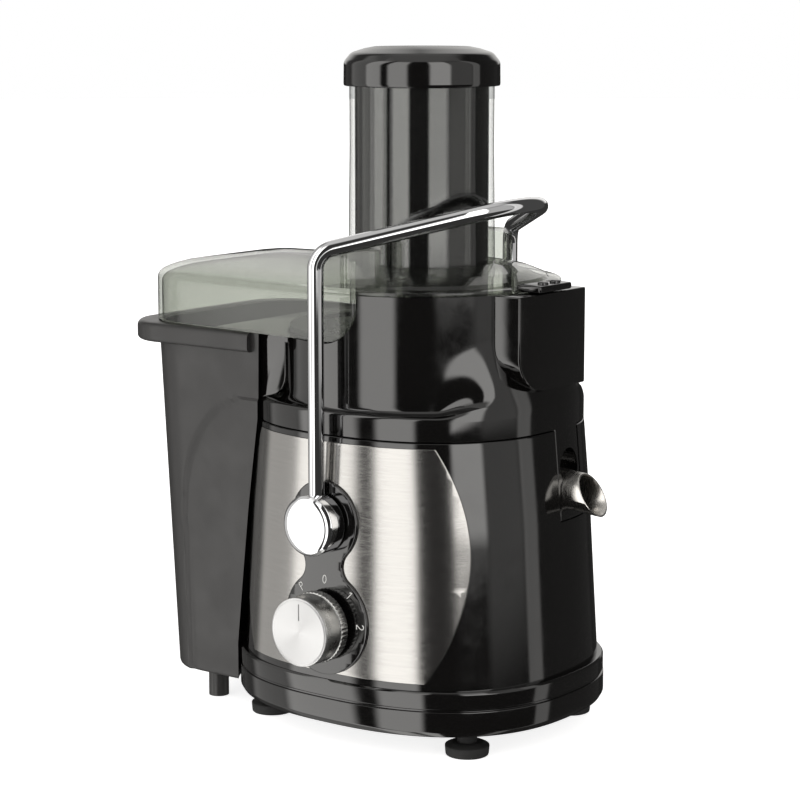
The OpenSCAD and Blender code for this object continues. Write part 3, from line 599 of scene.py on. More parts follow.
LOOKS = {
    "gloss_black": gloss_plastic("gloss_black_look", (0.0022, 0.0020, 0.0019)),
    "dark_plastic": matt_plastic("dark_plastic_look", (0.022, 0.021, 0.021), 0.42),
    "foot_rubber": rubber("foot_rubber_look", (0.012, 0.012, 0.012)),
    "steel": plain_metal("steel_look", (0.55, 0.55, 0.56), 0.24),
    "brushed_panel": brushed_metal("brushed_panel_look", (0.45, 0.44, 0.425), 0.17, (1, 1, 26)),
    "cast_alloy": plain_metal("cast_alloy_look", (0.42, 0.42, 0.44), 0.5, 260, 0.12, 0.05),
    "lamination": stacked_steel("lamination_look"),
    "copper": wound_copper("copper_look"),
    "brass": plain_metal("brass_look", (0.72, 0.52, 0.22), 0.28),
    "carbon": matt_plastic("carbon_look", (0.03, 0.03, 0.032), 0.6),
    "board": circuit_green("board_look"),
    "chrome": plain_metal("chrome_look", (0.82, 0.825, 0.84), 0.035, 500, 0.02, 0.0015),
    "knob_side": plain_metal("knob_side_look", (0.46, 0.46, 0.45), 0.3, 900, 0.16, 0.02),
    "turned_aluminium": turned_metal("turned_aluminium_look", (0.55, 0.55, 0.55), 0.3),
    "smoky_clear": clear_plastic("smoky_clear_look", (0.83, 0.845, 0.81), (0.05, 0.053, 0.048), 0.14),
    "bin_plastic": matt_plastic("bin_plastic_look", (0.023, 0.0222, 0.0218), 0.38, 1300, 0.02),
}
CHUTE_LOOK = clear_plastic("smoky_chute_look", (0.935, 0.94, 0.93), (0.03, 0.032, 0.03), 0.05)
SPOUT_LOOK = brushed_metal("spout_look", (0.66, 0.64, 0.61), 0.26, (26, 1, 1))
MARK_LOOK = matt_plastic("dial_mark_look", (0.62, 0.62, 0.60), 0.4)
GROOVE_LOOK = matt_plastic("groove_look", (0.16, 0.16, 0.16), 0.5)

for node_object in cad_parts.values():
    for holder in node_object.material_slots:
        if holder.material and holder.material.name in LOOKS:
            holder.material = LOOKS[holder.material.name]


# ---- Base ring, housing and feet ----

def ring_size(z):
    return RING_X, RING_Y


base_ring = oval_sweep("base_ring_piece", rounded([
    (-4.2, FOOT_Z, 0.4), (-1.8, FOOT_Z, 1.2), (0, FOOT_Z + 3.2, 1.6), (0, RING_TOP - 11.2, 0.5),
    (-1.0, RING_TOP - 10.8, 0.25), (-1.0, RING_TOP - 9.9, 0.25), (-0.3, RING_TOP - 9.5, 0.4),
    (-0.3, RING_TOP - 1.3, 0.9), (-1.2, RING_TOP, 0.5), (-7.5, RING_TOP, 0.3), (-7.5, RING_TOP - 3, 0.3),
    (-4.2, RING_TOP - 3, 0)]), ring_size)
piece(base_ring, "base_ring_shell", "base", "gloss_black", "base_ring")

levels = [RING_TOP + 0.02 + (SEAM_Z - RING_TOP - 0.9) * i / 26 for i in range(27)]
wall = [(0, z) for z in levels] + [(-0.1, SEAM_Z - 0.35), (-0.45, SEAM_Z), (-2.8, SEAM_Z)]
wall += [(-2.8, z) for z in levels[::-2]]
housing = oval_sweep("housing_piece", wall, half_sizes)
TONGUE_MID, TONGUE_HALF, TONGUE_Z = 15.5, 13.4, bowl_low.z
SPOUT_ARCH_Z, SPOUT_SEAT_Z = 154.5, 141.2
cut(housing, block("notch", (62, TONGUE_MID - TONGUE_HALF - 0.4, TONGUE_Z - 0.4),
                       (125, TONGUE_MID + TONGUE_HALF + 0.4, SEAM_Z + 5)))
piece(housing, "motor_housing_shell", "base", "gloss_black", "motor_housing")

FOOT_X, FOOT_Y = 70, 52
feet = []
for i in (-1, 1):
    for j in (-1, 1):
        feet.append(lathe("foot", rounded([(0, 0, 0), (12.0, 0, 0.8), (12.5, 5.6, 0.8), (8.6, 7.4, 0.6),
                                           (5.5, 7.4, 0.2), (5.5, 19, 0), (0, 19, 0)], 3),
                          upright(i * FOOT_X, j * FOOT_Y), 64))
piece(joined("feet", feet), "rubber_foot_discs", "base", "foot_rubber", "rubber_feet")


# ---- Front sheet, bezel and dial marks, made flat and wrapped on the front ----

def on_front(out):
    return lambda u, v, h: (u, -front_y(u, v, out) - h, v)


def wrapped(name, outline, out, thick, edge, cell=4.0):
    """A plate with a rounded edge, cut from a plane outline (x, z) and laid on the front."""
    flat = bpy.data.curves.new(name, "CURVE")
    flat.dimensions, flat.fill_mode = "2D", "BOTH"
    line = flat.splines.new("POLY")
    line.points.add(len(outline) - 1)
    for point, (u, v) in zip(line.points, outline):
        point.co = (u, v, 0, 1)
    line.use_cyclic_u = True
    flat.extrude, flat.offset = (thick - 2 * edge) / 2, -edge
    flat.bevel_depth, flat.bevel_resolution = edge, 3
    holder = new_object(name, flat)
    graph = bpy.context.evaluated_depsgraph_get()
    mesh = bpy.data.meshes.new_from_object(holder.evaluated_get(graph))
    bpy.data.objects.remove(holder)
    bm = bmesh.new()
    bm.from_mesh(mesh)
    bmesh.ops.remove_doubles(bm, verts=bm.verts, dist=1e-4)
    for axis in (0, 1):
        low = min(v.co[axis] for v in bm.verts)
        high = max(v.co[axis] for v in bm.verts)
        for k in range(1, int((high - low) / cell) + 1):
            plane = Vector((0, 0, 0))
            plane[axis] = low + k * cell
            normal = Vector((0, 0, 0))
            normal[axis] = 1
            bmesh.ops.bisect_plane(bm, geom=bm.verts[:] + bm.edges[:] + bm.faces[:],
                                   plane_co=plane, plane_no=normal)
    for v in bm.verts:
        u, w, h = v.co
        v.co = place((u, -front_y(u, w, out) - (h + thick / 2), w))
    bmesh.ops.recalc_face_normals(bm, faces=bm.faces)
    bm.to_mesh(mesh)
    bm.free()
    return new_object(name, mesh)


PANEL_MID, PANEL_END = 78, 61
height = panel_high.z - panel_low.z
sag = PANEL_MID - PANEL_END
bow_r = (height * height / 4 + sag * sag) / (2 * sag)
bow = math.degrees(math.asin(height / 2 / bow_r))
panel_mid_z = (panel_low.z + panel_high.z) / 2
panel_line = arc(PANEL_MID - bow_r, panel_mid_z, bow_r, -bow, bow, 40)
panel_line += arc(bow_r - PANEL_MID, panel_mid_z, bow_r, 180 - bow, 180 + bow, 40)
sheet = wrapped("front_sheet", panel_line, 0.1, 0.8, 0.28, 3.0)
piece(sheet, "brushed_front_sheet", "base", "brushed_panel", "front_panel", angle=50)

DIAL_R, PIVOT_PLATE_R, NECK = 29, 23.5, 10.0
DIAL_Z = KNOB_Z + 1


def figure_eight(grow=0.0):
    """The bezel's outline: two discs joined by a neck with hollow sides."""
    r1, r2 = PIVOT_PLATE_R + grow, DIAL_R + grow
    neck = NECK - grow
    gap_x, gap_z = -PIVOT_X, DIAL_Z - PIVOT_Z
    far = math.hypot(gap_x, gap_z)
    made = []
    for side in (1, -1):
        a = math.acos(((r1 + neck) ** 2 + far ** 2 - (r2 + neck) ** 2) / (2 * (r1 + neck) * far))
        base = math.atan2(gap_z, gap_x)
        t = base + side * a
        cx, cz = PIVOT_X + (r1 + neck) * cos(t), PIVOT_Z + (r1 + neck) * sin(t)
        made.append((cx, cz, math.degrees(t)))
    (rx, rz, rt), (lx, lz, lt) = made
    if rx < lx:
        (rx, rz, rt), (lx, lz, lt) = (lx, lz, lt), (rx, rz, rt)
    dial_right = math.degrees(math.atan2(rz - DIAL_Z, rx))
    dial_left = math.degrees(math.atan2(lz - DIAL_Z, lx))
    top_right = math.degrees(math.atan2(rz - PIVOT_Z, rx - PIVOT_X))
    top_left = math.degrees(math.atan2(lz - PIVOT_Z, lx - PIVOT_X))
    line = arc(PIVOT_X, PIVOT_Z, r1, top_right, top_left % 360, 44)
    line += arc(lx, lz, neck, (top_left % 360) - 180, (dial_left % 360) - 180, 8)[1:-1]
    line += arc(0, DIAL_Z, r2, dial_left % 360, 360 + dial_right, 56)
    line += arc(rx, rz, neck, dial_right + 180, top_right + 180, 8)[1:-1]
    return line


plate = wrapped("bezel", figure_eight(), 0.95, 1.5, 0.7, 4.0)
piece(plate, "control_bezel_plate", "base", "gloss_black", "control_bezel", angle=50)


def stroke(points, width, out, thick):
    """A raised line on the front, along points (x, z)."""
    rings = []
    for i, p in enumerate(points):
        a, b = points[max(i - 1, 0)], points[min(i + 1, len(points) - 1)]
        along = Vector((b[0] - a[0], b[1] - a[1])).normalized()
        side = Vector((-along.y, along.x)) * width / 2
        rings.append([on_front(out)(p[0] + s * side.x, p[1] + s * side.y, h)
                      for s, h in ((-1, 0), (1, 0), (1, thick), (-1, thick))])
    return skin("stroke", rings)


DIGITS = {
    "0": [[(1.15 * cos(TAU * k / 20), 2.2 * sin(TAU * k / 20)) for k in range(21)]],
    "1": [[(-1.0, 1.3), (0.3, 2.3)], [(0.3, 2.3), (0.3, -2.3)]],
    "2": [arc(0, 1.0, 1.25, 165, -35, 10) + [(-1.3, -2.2)], [(-1.3, -2.2), (1.4, -2.2)]],
    "P": [[(-0.9, -2.3), (-0.9, 2.3)],
          [(-0.9, 2.3), (0.1, 2.3)] + arc(0.1, 1.2, 1.1, 90, -90, 8)[1:] + [(-0.9, 0.1)]],
}
MARK_R, MARK_WIDTH, MARK_OUT, MARK_THICK = 24.6, 0.5, 2.43, 0.06
marks = []
for sign, turn in (("P", 42), ("0", 0), ("1", -44), ("2", -88)):
    t = radians(90 + turn)
    middle = (MARK_R * cos(t), DIAL_Z + MARK_R * sin(t))
    c, s = cos(radians(turn)), sin(radians(turn))
    for line in DIGITS[sign]:
        marks.append(stroke([(middle[0] + u * c - v * s, middle[1] + u * s + v * c) for u, v in line],
                            MARK_WIDTH, MARK_OUT, MARK_THICK))
piece(joined("marks", marks), "dial_marks", "base", "chrome", look=MARK_LOOK)


# ---- Pivot caps and locking arm ----

cap_face = -arm_cap_low.y
cap_back = 90.2
caps = []
for side in (-1, 1):
    outline = rounded([(0, cap_back, 0), (PIVOT_R - 1.5, cap_back, 0), (PIVOT_R, cap_back, 0.6),
                       (PIVOT_R, cap_face - 2.2, 0.8), (PIVOT_R - 1.7, cap_face - 0.7, 0.5),
                       (0, cap_face, 0)])
    dome = [(PIVOT_R - 1.9, cap_face - 0.62), (PIVOT_R - 4, cap_face - 0.36),
            (PIVOT_R - 8, cap_face - 0.12), (0, cap_face)]
    caps.append(lathe("cap", outline[:-3] + dome, facing(PIVOT_X, PIVOT_Z, side), 96))
piece(joined("caps", caps), "pivot_caps", "locking_arm", "chrome", "arm_caps", angle=40)

LEG_Y, SHOULDER_Z, LOOP_R, HEADING, RISE, BEND_R, TUBE_R = 93.5, 278, 50, 44.5, 12.5, 12, 4.5
bend_turn = radians(90 - RISE)
bend_z = SHOULDER_Z - BEND_R * math.tan(bend_turn / 2)
turn_h = radians(HEADING)
arm_dir = (cos(radians(RISE)) * cos(turn_h), cos(radians(RISE)) * sin(turn_h),
           sin(radians(RISE)))
slope = math.atan2(arm_dir[2], arm_dir[0])
plane_turn = math.acos(math.hypot(arm_dir[0], arm_dir[2]))


def bend_point(a):
    out = BEND_R * (1 - cos(a))
    return Vector((PIVOT_X + out * cos(turn_h), -LEG_Y + out * sin(turn_h),
                   bend_z + BEND_R * sin(a)))


end = bend_point(bend_turn)
loop_mid = (-end.y * cos(plane_turn) - LOOP_R) / sin(plane_turn)


def loop_point(a):
    run = loop_mid + LOOP_R * cos(a)
    return Vector((end.x + run * cos(slope), LOOP_R * sin(a), end.z + run * sin(slope)))


LEG_FOOT = 8
half_path = [Vector((PIVOT_X, -LEG_Y, PIVOT_Z + LEG_FOOT + (bend_z - PIVOT_Z - LEG_FOOT) * k / 12))
             for k in range(12)]
half_path += [bend_point(bend_turn * k / 16) for k in range(17)]
first = loop_point(plane_turn - math.pi / 2)
half_path += [half_path[-1].lerp(first, k / 8) for k in range(1, 8)]
half_path += [loop_point((plane_turn - math.pi / 2) * (1 - k / 28)) for k in range(28)]
path = half_path + [loop_point(0)] + [Vector((p.x, -p.y, p.z)) for p in half_path[::-1]]
piece(tube("arm", path, TUBE_R, 36), "locking_arm_tube", "locking_arm", "chrome", "arm_tube", angle=60)


# ---- Speed knob ----

front, back = -face_low.y, -knob_high.y
rim_r = KNOB_R - 0.35
RIDGE, RIDGES = 0.22, 48
skirt = rounded([
    (3, back, 0), (rim_r - 2.2, back, 0), (rim_r, back, 0.7), (rim_r, back + 5.2, 0.4),
    (rim_r - 1.0, back + 5.6, 0.2), (rim_r - 1.0, back + 6.3, 0.2), (rim_r - 0.2, back + 6.7, 0.4),
    (rim_r - 0.5, front - 1.3, 0.4), (rim_r - 2, front - 1.2, 0), (3, front - 1.2, 0)])
knob_side = lathe("knob_side", skirt, facing(0, KNOB_Z), 192, closed=True)
for v in knob_side.data.vertices:
    away = -v.co.y / MM + AXIS.y / MM
    x, z = (v.co.x - AXIS.x) / MM, v.co.z / MM - KNOB_Z
    r = math.hypot(x, z)
    if back + 0.4 < away < back + 5.4 and r > rim_r - 1:
        grow = 1 + RIDGE * cos(RIDGES * math.atan2(z, x)) / r
        v.co = place((x * grow, -away, KNOB_Z + z * grow))
piece(knob_side, "knob_skirt", "speed_knob", "knob_side", "knob_body", angle=40)
face_r = face_high.x - 0.05
disc = lathe("knob_disc", rounded([
    (0, front - 1.25, 0), (face_r - 0.6, front - 1.25, 0), (face_r, front - 1.2, 0.1),
    (face_r - 0.15, front - 0.15, 0.35), (face_r - 1.0, front, 0.2), (face_r - 1.7, front - 0.25, 0.2),
    (0, front - 0.25, 0)]), facing(0, KNOB_Z), 160)
cut(disc, block("line", (-0.4, -front - 1, KNOB_Z + 6.5), (0.4, -front + 0.6, KNOB_Z + 15.8)))
piece(disc, "knob_disc_face", "speed_knob", "turned_aluminium", "knob_face", angle=40)
pointer = block("pointer", (-0.35, -front + 0.35, KNOB_Z + 6.6), (0.35, -front + 0.6, KNOB_Z + 15.7))
piece(pointer, "knob_pointer", "speed_knob", "knob_side", look=GROOVE_LOOK)


# ---- Chute, pusher and cap ----

chute = lathe("chute", rounded([
    (CHUTE_IN, chute_low.z, 0.6), (CHUTE_R, chute_low.z, 0.6), (CHUTE_R, RIM_Z + 2, 1),
    (CHUTE_R + 0.8, RIM_Z + 4, 1), (CHUTE_R + 0.8, RIM_Z + 11.6, 1), (CHUTE_R, CHUTE_TOP - 40, 0),
    (CHUTE_R, CHUTE_TOP, 0.6), (CHUTE_IN, CHUTE_TOP, 0.6)]),
    upright(), 160, closed=True)
piece(chute, "feed_chute_tube", "lid", "smoky_clear", "feed_chute", look=CHUTE_LOOK)

PLUNGER_R, PLUNGER_Z = plunger_high.x, plunger_low.z
plunger = lathe("plunger", rounded([
    (0, PLUNGER_Z, 0), (PLUNGER_R - 0.1, PLUNGER_Z, 2.5), (PLUNGER_R - 0.1, PLUNGER_Z + 16, 0.4),
    (PLUNGER_R - 0.9, PLUNGER_Z + 16.6, 0.2), (PLUNGER_R - 0.9, PLUNGER_Z + 18, 0.2),
    (PLUNGER_R - 0.1, PLUNGER_Z + 18.6, 0.4), (PLUNGER_R - 0.1, CHUTE_TOP, 0.2),
    (PLUNGER_R - 2.6, CHUTE_TOP, 0.2), (PLUNGER_R - 2.6, PLUNGER_Z + 3, 1), (0, PLUNGER_Z + 3, 0)]),
    upright(), 128)
piece(plunger, "pusher_plunger", "pusher", "gloss_black", "pusher_body")

CAP_R, CAP_Z = cap_high.x, cap_low.z
cap = lathe("cap_top", rounded([
    (0, CAP_TOP, 0), (CAP_R - 17, CAP_TOP - 0.25, 0), (CAP_R - 11.5, CAP_TOP - 1.3, 8),
    (CAP_R - 4.2, CAP_TOP - 3.6, 5.5), (CAP_R - 0.15, CAP_TOP - 8.6, 5), (CAP_R, CAP_Z + 1.6, 0.6),
    (CAP_R - 0.2, CAP_Z, 0.7), (CHUTE_R + 0.5, CAP_Z, 0.4), (CHUTE_R + 0.5, CHUTE_TOP + 0.5, 0.4),
    (31.5, CHUTE_TOP + 0.5, 0.3), (31.5, CAP_TOP - 5, 0.5), (0, CAP_TOP - 5, 0)], 6), upright(), 160)
piece(cap, "pusher_cap_shell", "pusher", "gloss_black", "pusher_cap")


# ---- Bowl ----

FLANGE_TOP = SEAM_Z + 14
BOWL_FLOOR = SEAM_Z + 4.5
BOWL_R, BOWL_IN, BLOCK_X, BLOCK_Y = 80, 77, 90, 33
FLANGE_X, FLANGE_Y = TOP_X - 0.2, TOP_Y - 0.2
NOTCH_R, NOTCH_X = 24, 14.5
HUB_R, DECK_THICK = 15.5, 4
WALL_STEPS = 22


def reach(turn):
    """How far the flange stands from the spindle in one direction."""
    return (abs(cos(turn) / FLANGE_X) ** POWER + abs(sin(turn) / FLANGE_Y) ** POWER) ** (-1 / POWER)


def ledge_side(turn):
    """Upward run of (radius, height): a level ledge with a round edge, then the wall."""
    out, edge = reach(turn), 2.4
    hollow = max(0.4, min(4.0, out - BOWL_R - edge - 0.1))
    made = [(out - edge * (1 - cos(a)), FLANGE_TOP - edge * (1 - sin(a)))
            for a in (math.pi / 2 * k / 4 for k in range(5))]
    made += [(BOWL_R + hollow * (1 - sin(a)), FLANGE_TOP + hollow * (1 - cos(a)))
             for a in (math.pi / 2 * k / 4 for k in range(5))]
    low = made[-1][1]
    return made + [(BOWL_R, low + (RIM_Z - low) * k / WALL_STEPS) for k in range(1, WALL_STEPS + 1)]


def swept_side(turn, count):
    """The same run where the flange's wall sweeps up into the bowl's."""
    low = FLANGE_TOP - 2.4
    made = []
    for k in range(count):
        z = low + (RIM_Z - low) * k / (count - 1)
        made.append((BOWL_R + (reach(turn) - BOWL_R) * (1 - ease((z - FLANGE_TOP + 2) / 40)), z))
    return made


turns = [TAU * i / 288 for i in range(288)]
runs = []
for turn in turns:
    ledge = ledge_side(turn)
    swept = swept_side(turn, len(ledge))
    share = ease((cos(turn) - 0.66) / 0.27)
    out = reach(turn)
    runs.append([(out - 0.5, SEAM_Z + 0.4), (out, SEAM_Z + 0.9)]
                + [(a[0] + (b[0] - a[0]) * share, a[1] + (b[1] - a[1]) * share)
                   for a, b in zip(ledge, swept)])
bowl = skin("bowl", [[(run[k][0] * cos(t), run[k][0] * sin(t), run[k][1])
                      for t, run in zip(turns, runs)] for k in range(len(runs[0]))])

CORNER_Y, CORNER_Z, BLOCK_FOOT = 27, 21, FLANGE_TOP + 10
block_line = [(BLOCK_Y, RIM_Z), (-BLOCK_Y, RIM_Z)]
block_line += [(-BLOCK_Y + CORNER_Y * (1 - cos(a)), BLOCK_FOOT + CORNER_Z * (1 - sin(a)))
               for a in (math.pi / 2 * k / 16 for k in range(17))]
block_line += [(BLOCK_Y, BLOCK_FOOT)]
juice_block = extruded("juice_block", block_line, lambda u, v, h: (h, u, v), 20, BLOCK_X)
add(bowl, soften(juice_block, 0.9, 3, 50))
tongue = block("tongue", (66, TONGUE_MID - TONGUE_HALF, TONGUE_Z), (98, TONGUE_MID + TONGUE_HALF, SEAM_Z + 6))
face = [(TONGUE_Z - 5 + (SEAM_Z - TONGUE_Z + 5) * k / 12) for k in range(13)]
tongue_face = [[(x, y, z) for x, y in oval(half_sizes(z)[0] - 0.2, half_sizes(z)[1] - 0.2)] for z in face]
tongue_face.append([(x, y, SEAM_Z + 9) for x, y in oval(FLANGE_X, FLANGE_Y)])
combine(tongue, skin("tongue_face", tongue_face), "INTERSECT")
add(bowl, soften(tongue, 0.5, 2, 50))
add(bowl, block("deck", (-105, -60, DECK_Z - DECK_THICK), (-49, 60, DECK_Z), 0.6, 2))
add(bowl, block("side_deck", (-66, -66, DECK_Z - DECK_THICK), (-36, 66, DECK_Z), 0.6, 2))
for s in (-1, 1):
    cheek_line = rounded([(-66, DECK_Z - 0.5, 0), (-47, DECK_Z - 0.5, 0), (-47, FLANGE_TOP + 3, 13),
                          (-66, FLANGE_TOP - 1, 2)])
    cheek = extruded("cheek", cheek_line, lambda u, v, h: (u, s * h, v), 61, 66)
    add(bowl, soften(cheek, 0.5, 2, 50))
cut(bowl, lathe("bowl_hollow", [(0, BOWL_FLOOR), (BOWL_IN - 2, BOWL_FLOOR), (BOWL_IN, BOWL_FLOOR + 2),
                                    (BOWL_IN, RIM_Z + 9), (0, RIM_Z + 9)], upright(), 192))
notch = [(-FAR_LEFT, DECK_Z), (NOTCH_X - NOTCH_R, DECK_Z)]
notch += arc(NOTCH_X - NOTCH_R, DECK_Z + NOTCH_R, NOTCH_R, -90, 0, 16)[1:]
notch += [(NOTCH_X, RIM_Z + 20), (-FAR_LEFT, RIM_Z + 20)]
cut(bowl, extruded("notch", notch, front_view, -FAR, FAR))
cut(bowl, block("block_hollow", (BOWL_IN - 9, -BLOCK_Y + 3, RIM_Z - 26),
                (BLOCK_X - 3, BLOCK_Y - 3, RIM_Z - 3)))
cut(bowl, lathe("hub_hole", rod(HUB_R, SEAM_Z - 3, BOWL_FLOOR + 3), upright(), 96))


def sideways(z):
    """Turned about an axis along X through the tongue's middle at height z."""
    return lambda r, a, h: (h, TONGUE_MID + r * cos(a), z + r * sin(a))


cut(bowl, lathe("spout_arch", rod(10.4, 84, 96), sideways(SPOUT_ARCH_Z), 64))
cut(bowl, lathe("spout_seat", rod(11.2, 72, 110), sideways(SPOUT_SEAT_Z), 64))
collar = lathe("collar", [(HUB_R, BOWL_FLOOR - 2), (HUB_R + 2, BOWL_FLOOR - 2), (HUB_R + 2, BOWL_FLOOR + 6),
                          (HUB_R, BOWL_FLOOR + 6)], upright(), 96, closed=True)
piece(joined("bowl_parts", [bowl, collar]), "juice_bowl_shell", "base", "gloss_black", "juice_bowl", angle=30)


# ---- Juice spout ----

SPOUT_R, SPOUT_WALL, SPOUT_X, SPOUT_Z, SPOUT_SLOPE, MOUTH = 11, 1.0, 107.6, 139.8, 5.0, 29.6
tilt = radians(SPOUT_SLOPE)


def spout_point(r, a, h):
    """Turned about the spout's axis; heights above zero are cut along the slanted mouth."""
    if h > -4:
        h -= r * sin(a) * math.tan(radians(MOUTH + SPOUT_SLOPE))
    along = Vector((cos(tilt), 0, -sin(tilt)))
    up = Vector((sin(tilt), 0, cos(tilt)))
    across = cos(a) * Vector((0, 1, 0)) + sin(a) * up
    return Vector((SPOUT_X, TONGUE_MID, SPOUT_Z)) + h * along + r * across


spout_in = SPOUT_R - SPOUT_WALL
spout = lathe("spout", [(spout_in, -26), (SPOUT_R, -26), (SPOUT_R, -8), (SPOUT_R, -0.35), (SPOUT_R - 0.3, 0),
                        (spout_in + 0.25, 0), (spout_in, -0.35), (spout_in, -8)],
              spout_point, 128, closed=True)
piece(spout, "juice_spout_tube", "base", "brushed_panel", "juice_spout", look=SPOUT_LOOK, angle=50)


# ---- Lid ----

HOPPER_R, HOPPER_X, HOPPER_Y, LID_WALL = 42, -lid_low.x, 68, 2.4


def hopper_plan(d):
    """Plan of the lid's pulp side, drawn in by d."""
    r = max(HOPPER_R - d, 4.0)
    shift = max(0.0, d - HOPPER_R + 4.0)
    return round_end(-HOPPER_X + HOPPER_R + shift, HOPPER_Y - HOPPER_R - shift, r,
                     (-6 - d * 0.4, 79.3 - d), (NOTCH_X - min(d, 12), 79.3 - d), count=240)


def hopper(name, inset, foot):
    """A loft over the hopper's plans: upright walls, a soft shoulder and a shallow crown."""
    rows = [(0, foot)] + [(d, RIM_Z + rise) for d, rise in (
        (0, -3), (0.3, -1.4), (1.2, 0.2), (3, 1.8), (6, 3.2), (10, 4.6), (16, 6.2), (24, 7.6), (34, 8.8),
        (46, 10), (60, 11))]
    return skin(name, [[(x, y, z - (inset if z > foot + 0.01 else 0)) for x, y in hopper_plan(d + inset)]
                       for d, z in rows])


def skirt_outline(extra, top):
    """Front view of the lid's skirt: level foot, then a curve up to the rim."""
    z0 = DECK_Z + extra
    return ([(-FAR_LEFT, z0)] + [(NOTCH_X - NOTCH_R, z0)]
            + arc(NOTCH_X - NOTCH_R, z0 + NOTCH_R, NOTCH_R - extra, -90, 0, 16)[1:]
            + [(NOTCH_X - extra, RIM_Z + 0.7), (FAR, RIM_Z + 0.7), (FAR, top), (-FAR_LEFT, top)])


lid = hopper("lid", 0.0, DECK_Z + 1)
combine(lid, extruded("keep", skirt_outline(0.4, RIM_Z + 60), front_view, -FAR, FAR), "INTERSECT")
DOME_Z = RIM_Z + 11.8
dome_line = rounded([(0, RIM_Z + 0.35, 0), (79.7, RIM_Z + 0.35, 0.3), (79.7, RIM_Z + 2.4, 0.8),
                     (72.4, RIM_Z + 3.0, 0.5), (71, RIM_Z + 5, 1.2), (62, RIM_Z + 8.6, 8),
                     (CHUTE_R + 3, DOME_Z, 3), (0, DOME_Z, 0)], 4)
add(lid, lathe("dome", dome_line, upright(), 192))
cut(lid, hopper("hollow", LID_WALL, DECK_Z - 2))
inner_line = rounded([(0, RIM_Z - 8, 0), (73, RIM_Z - 8, 0), (73, RIM_Z + 0.6, 0), (69.5, RIM_Z + 2.4, 2),
                      (61, RIM_Z + 6.4, 6), (CHUTE_R + 2, DOME_Z - LID_WALL, 2),
                      (0, DOME_Z - LID_WALL, 0)], 4)
cut(lid, lathe("dome_hollow", inner_line, upright(), 192))
cut(lid, lathe("bore", rod(CHUTE_R + 0.9, RIM_Z - 20, RIM_Z + 40), upright(), 128))
piece(lid, "lid_shell", "lid", "smoky_clear", "lid_cover", angle=28)

lug_arc = math.hypot(10.3 - PIVOT_X, SHOULDER_Z + 4.3 - PIVOT_Z) - TUBE_R + 1.0
lugs = []
for s in (-1, 1):
    outline = rounded([(-11.5, s * 78.6, 2.5), (6, s * 78.6, 3), (17.5, s * 66, 3), (17.5, s * 60.5, 2),
                       (-11.5, s * 60.5, 2)])
    rings = [[(x, y, z) for x, y in outline] for z in (RIM_Z + 3.5, RIM_Z + 8)]
    for inset, drop in ((0, 1.2), (0.35, 0.35), (1.2, 0)):
        middle = (2.0, s * 69.5)
        rings.append([(x + (middle[0] - x) * inset / 12, y + (middle[1] - y) * inset / 12,
                       PIVOT_Z + math.sqrt(lug_arc ** 2 - (x - PIVOT_X) ** 2) - drop) for x, y in outline])
    lugs.append(skin("lug", rings))
piece(joined("lugs", lugs), "lid_arm_lugs", "lid", "smoky_clear", angle=28)

tab = block("tab", (76, -16, RIM_Z + 0.7), (92, 16, RIM_Z + 4.6), 1.4, 4)
button = rounded([(0, RIM_Z + 4, 0), (3, RIM_Z + 4, 0), (3, RIM_Z + 6, 0.9), (0, RIM_Z + 6.3, 0)])
buttons = [lathe("button", button, upright(87, s * 6), 48) for s in (-1, 1)]
piece(joined("tab", [tab] + buttons), "lid_tab", "lid", "gloss_black")


# ---- Pulp bin ----

BIN_X, BIN_Y, DRAFT, BIN_WALL, GRIP_H, BIN_CORNER = -bin_low.x, 70, 7, 2.4, 11.5, 34
SIDE_DRAFT = 0.9
BIN_FOOT, BIN_TOP = bin_low.z, bin_high.z
FOOT_ROUND, RECESS = 2.6, 1.7


def draft_at(z):
    """How much narrower than its top the bin is at height z, on its end."""
    return DRAFT * (1 - (z - BIN_FOOT) / (BIN_TOP - BIN_FOOT))


def bin_plan(d, inset=0.0):
    side = BIN_Y - d * SIDE_DRAFT
    return round_end(-(BIN_X - BIN_DEPTH) + d + BIN_CORNER, side - BIN_CORNER, BIN_CORNER - inset,
                     (-60 - inset, side - inset))


def recess(x, z):
    """How far the panel on the bin's sides stands in: all that lies beyond a tall arc."""
    if z > 188:
        return 0.0
    edge = -71 - 54 * math.sqrt(1 - (max(0.0, z - 115) / 73) ** 2)
    return RECESS * ease((x - edge) / 3.2 + 0.5)


rows = [BIN_FOOT, BIN_FOOT + 0.4, BIN_FOOT + 1.2, BIN_FOOT + FOOT_ROUND]
rows += [BIN_FOOT + 4 + (BIN_TOP - BIN_FOOT - 4) * k / 92 for k in range(93)]
rings = []
for z in rows:
    d = draft_at(z)
    round_foot = 2.4 * (1 - math.sqrt(1 - max(0.0, 1 - (z - BIN_FOOT) / FOOT_ROUND) ** 2))
    ring = []
    for x, y in bin_plan(d, inset=round_foot):
        push = recess(x, z) if abs(y) > BIN_Y - d * SIDE_DRAFT - 14 else 0.0
        ring.append((x, y - math.copysign(push, y), z))
    rings.append(ring)
bin_shell = skin("bin", rings)
inside = (BIN_FOOT + BIN_WALL + 1.5, 120, BIN_TOP + 3)
cut(bin_shell, skin("bin_hollow", [[(x, y, z) for x, y in bin_plan(draft_at(z), inset=BIN_WALL + 1.2)]
                                   for z in inside]))


def body_room():
    """The space that the housing takes from the bin."""
    sizes = ((0, RING_X, RING_Y), (RING_TOP, RING_X, RING_Y), (KNEE_Z, KNEE_X + 2, KNEE_Y + 0.8),
             (SEAM_Z, TOP_X + 1, TOP_Y), (400, TOP_X + 1, TOP_Y))
    return skin("body_room", [[(x, y, z) for x, y in oval(a + 1.4, b + 1.4)] for z, a, b in sizes])


cut(bin_shell, body_room())


GRIP_CORNER, GRIP_OUT = 30, 3.5


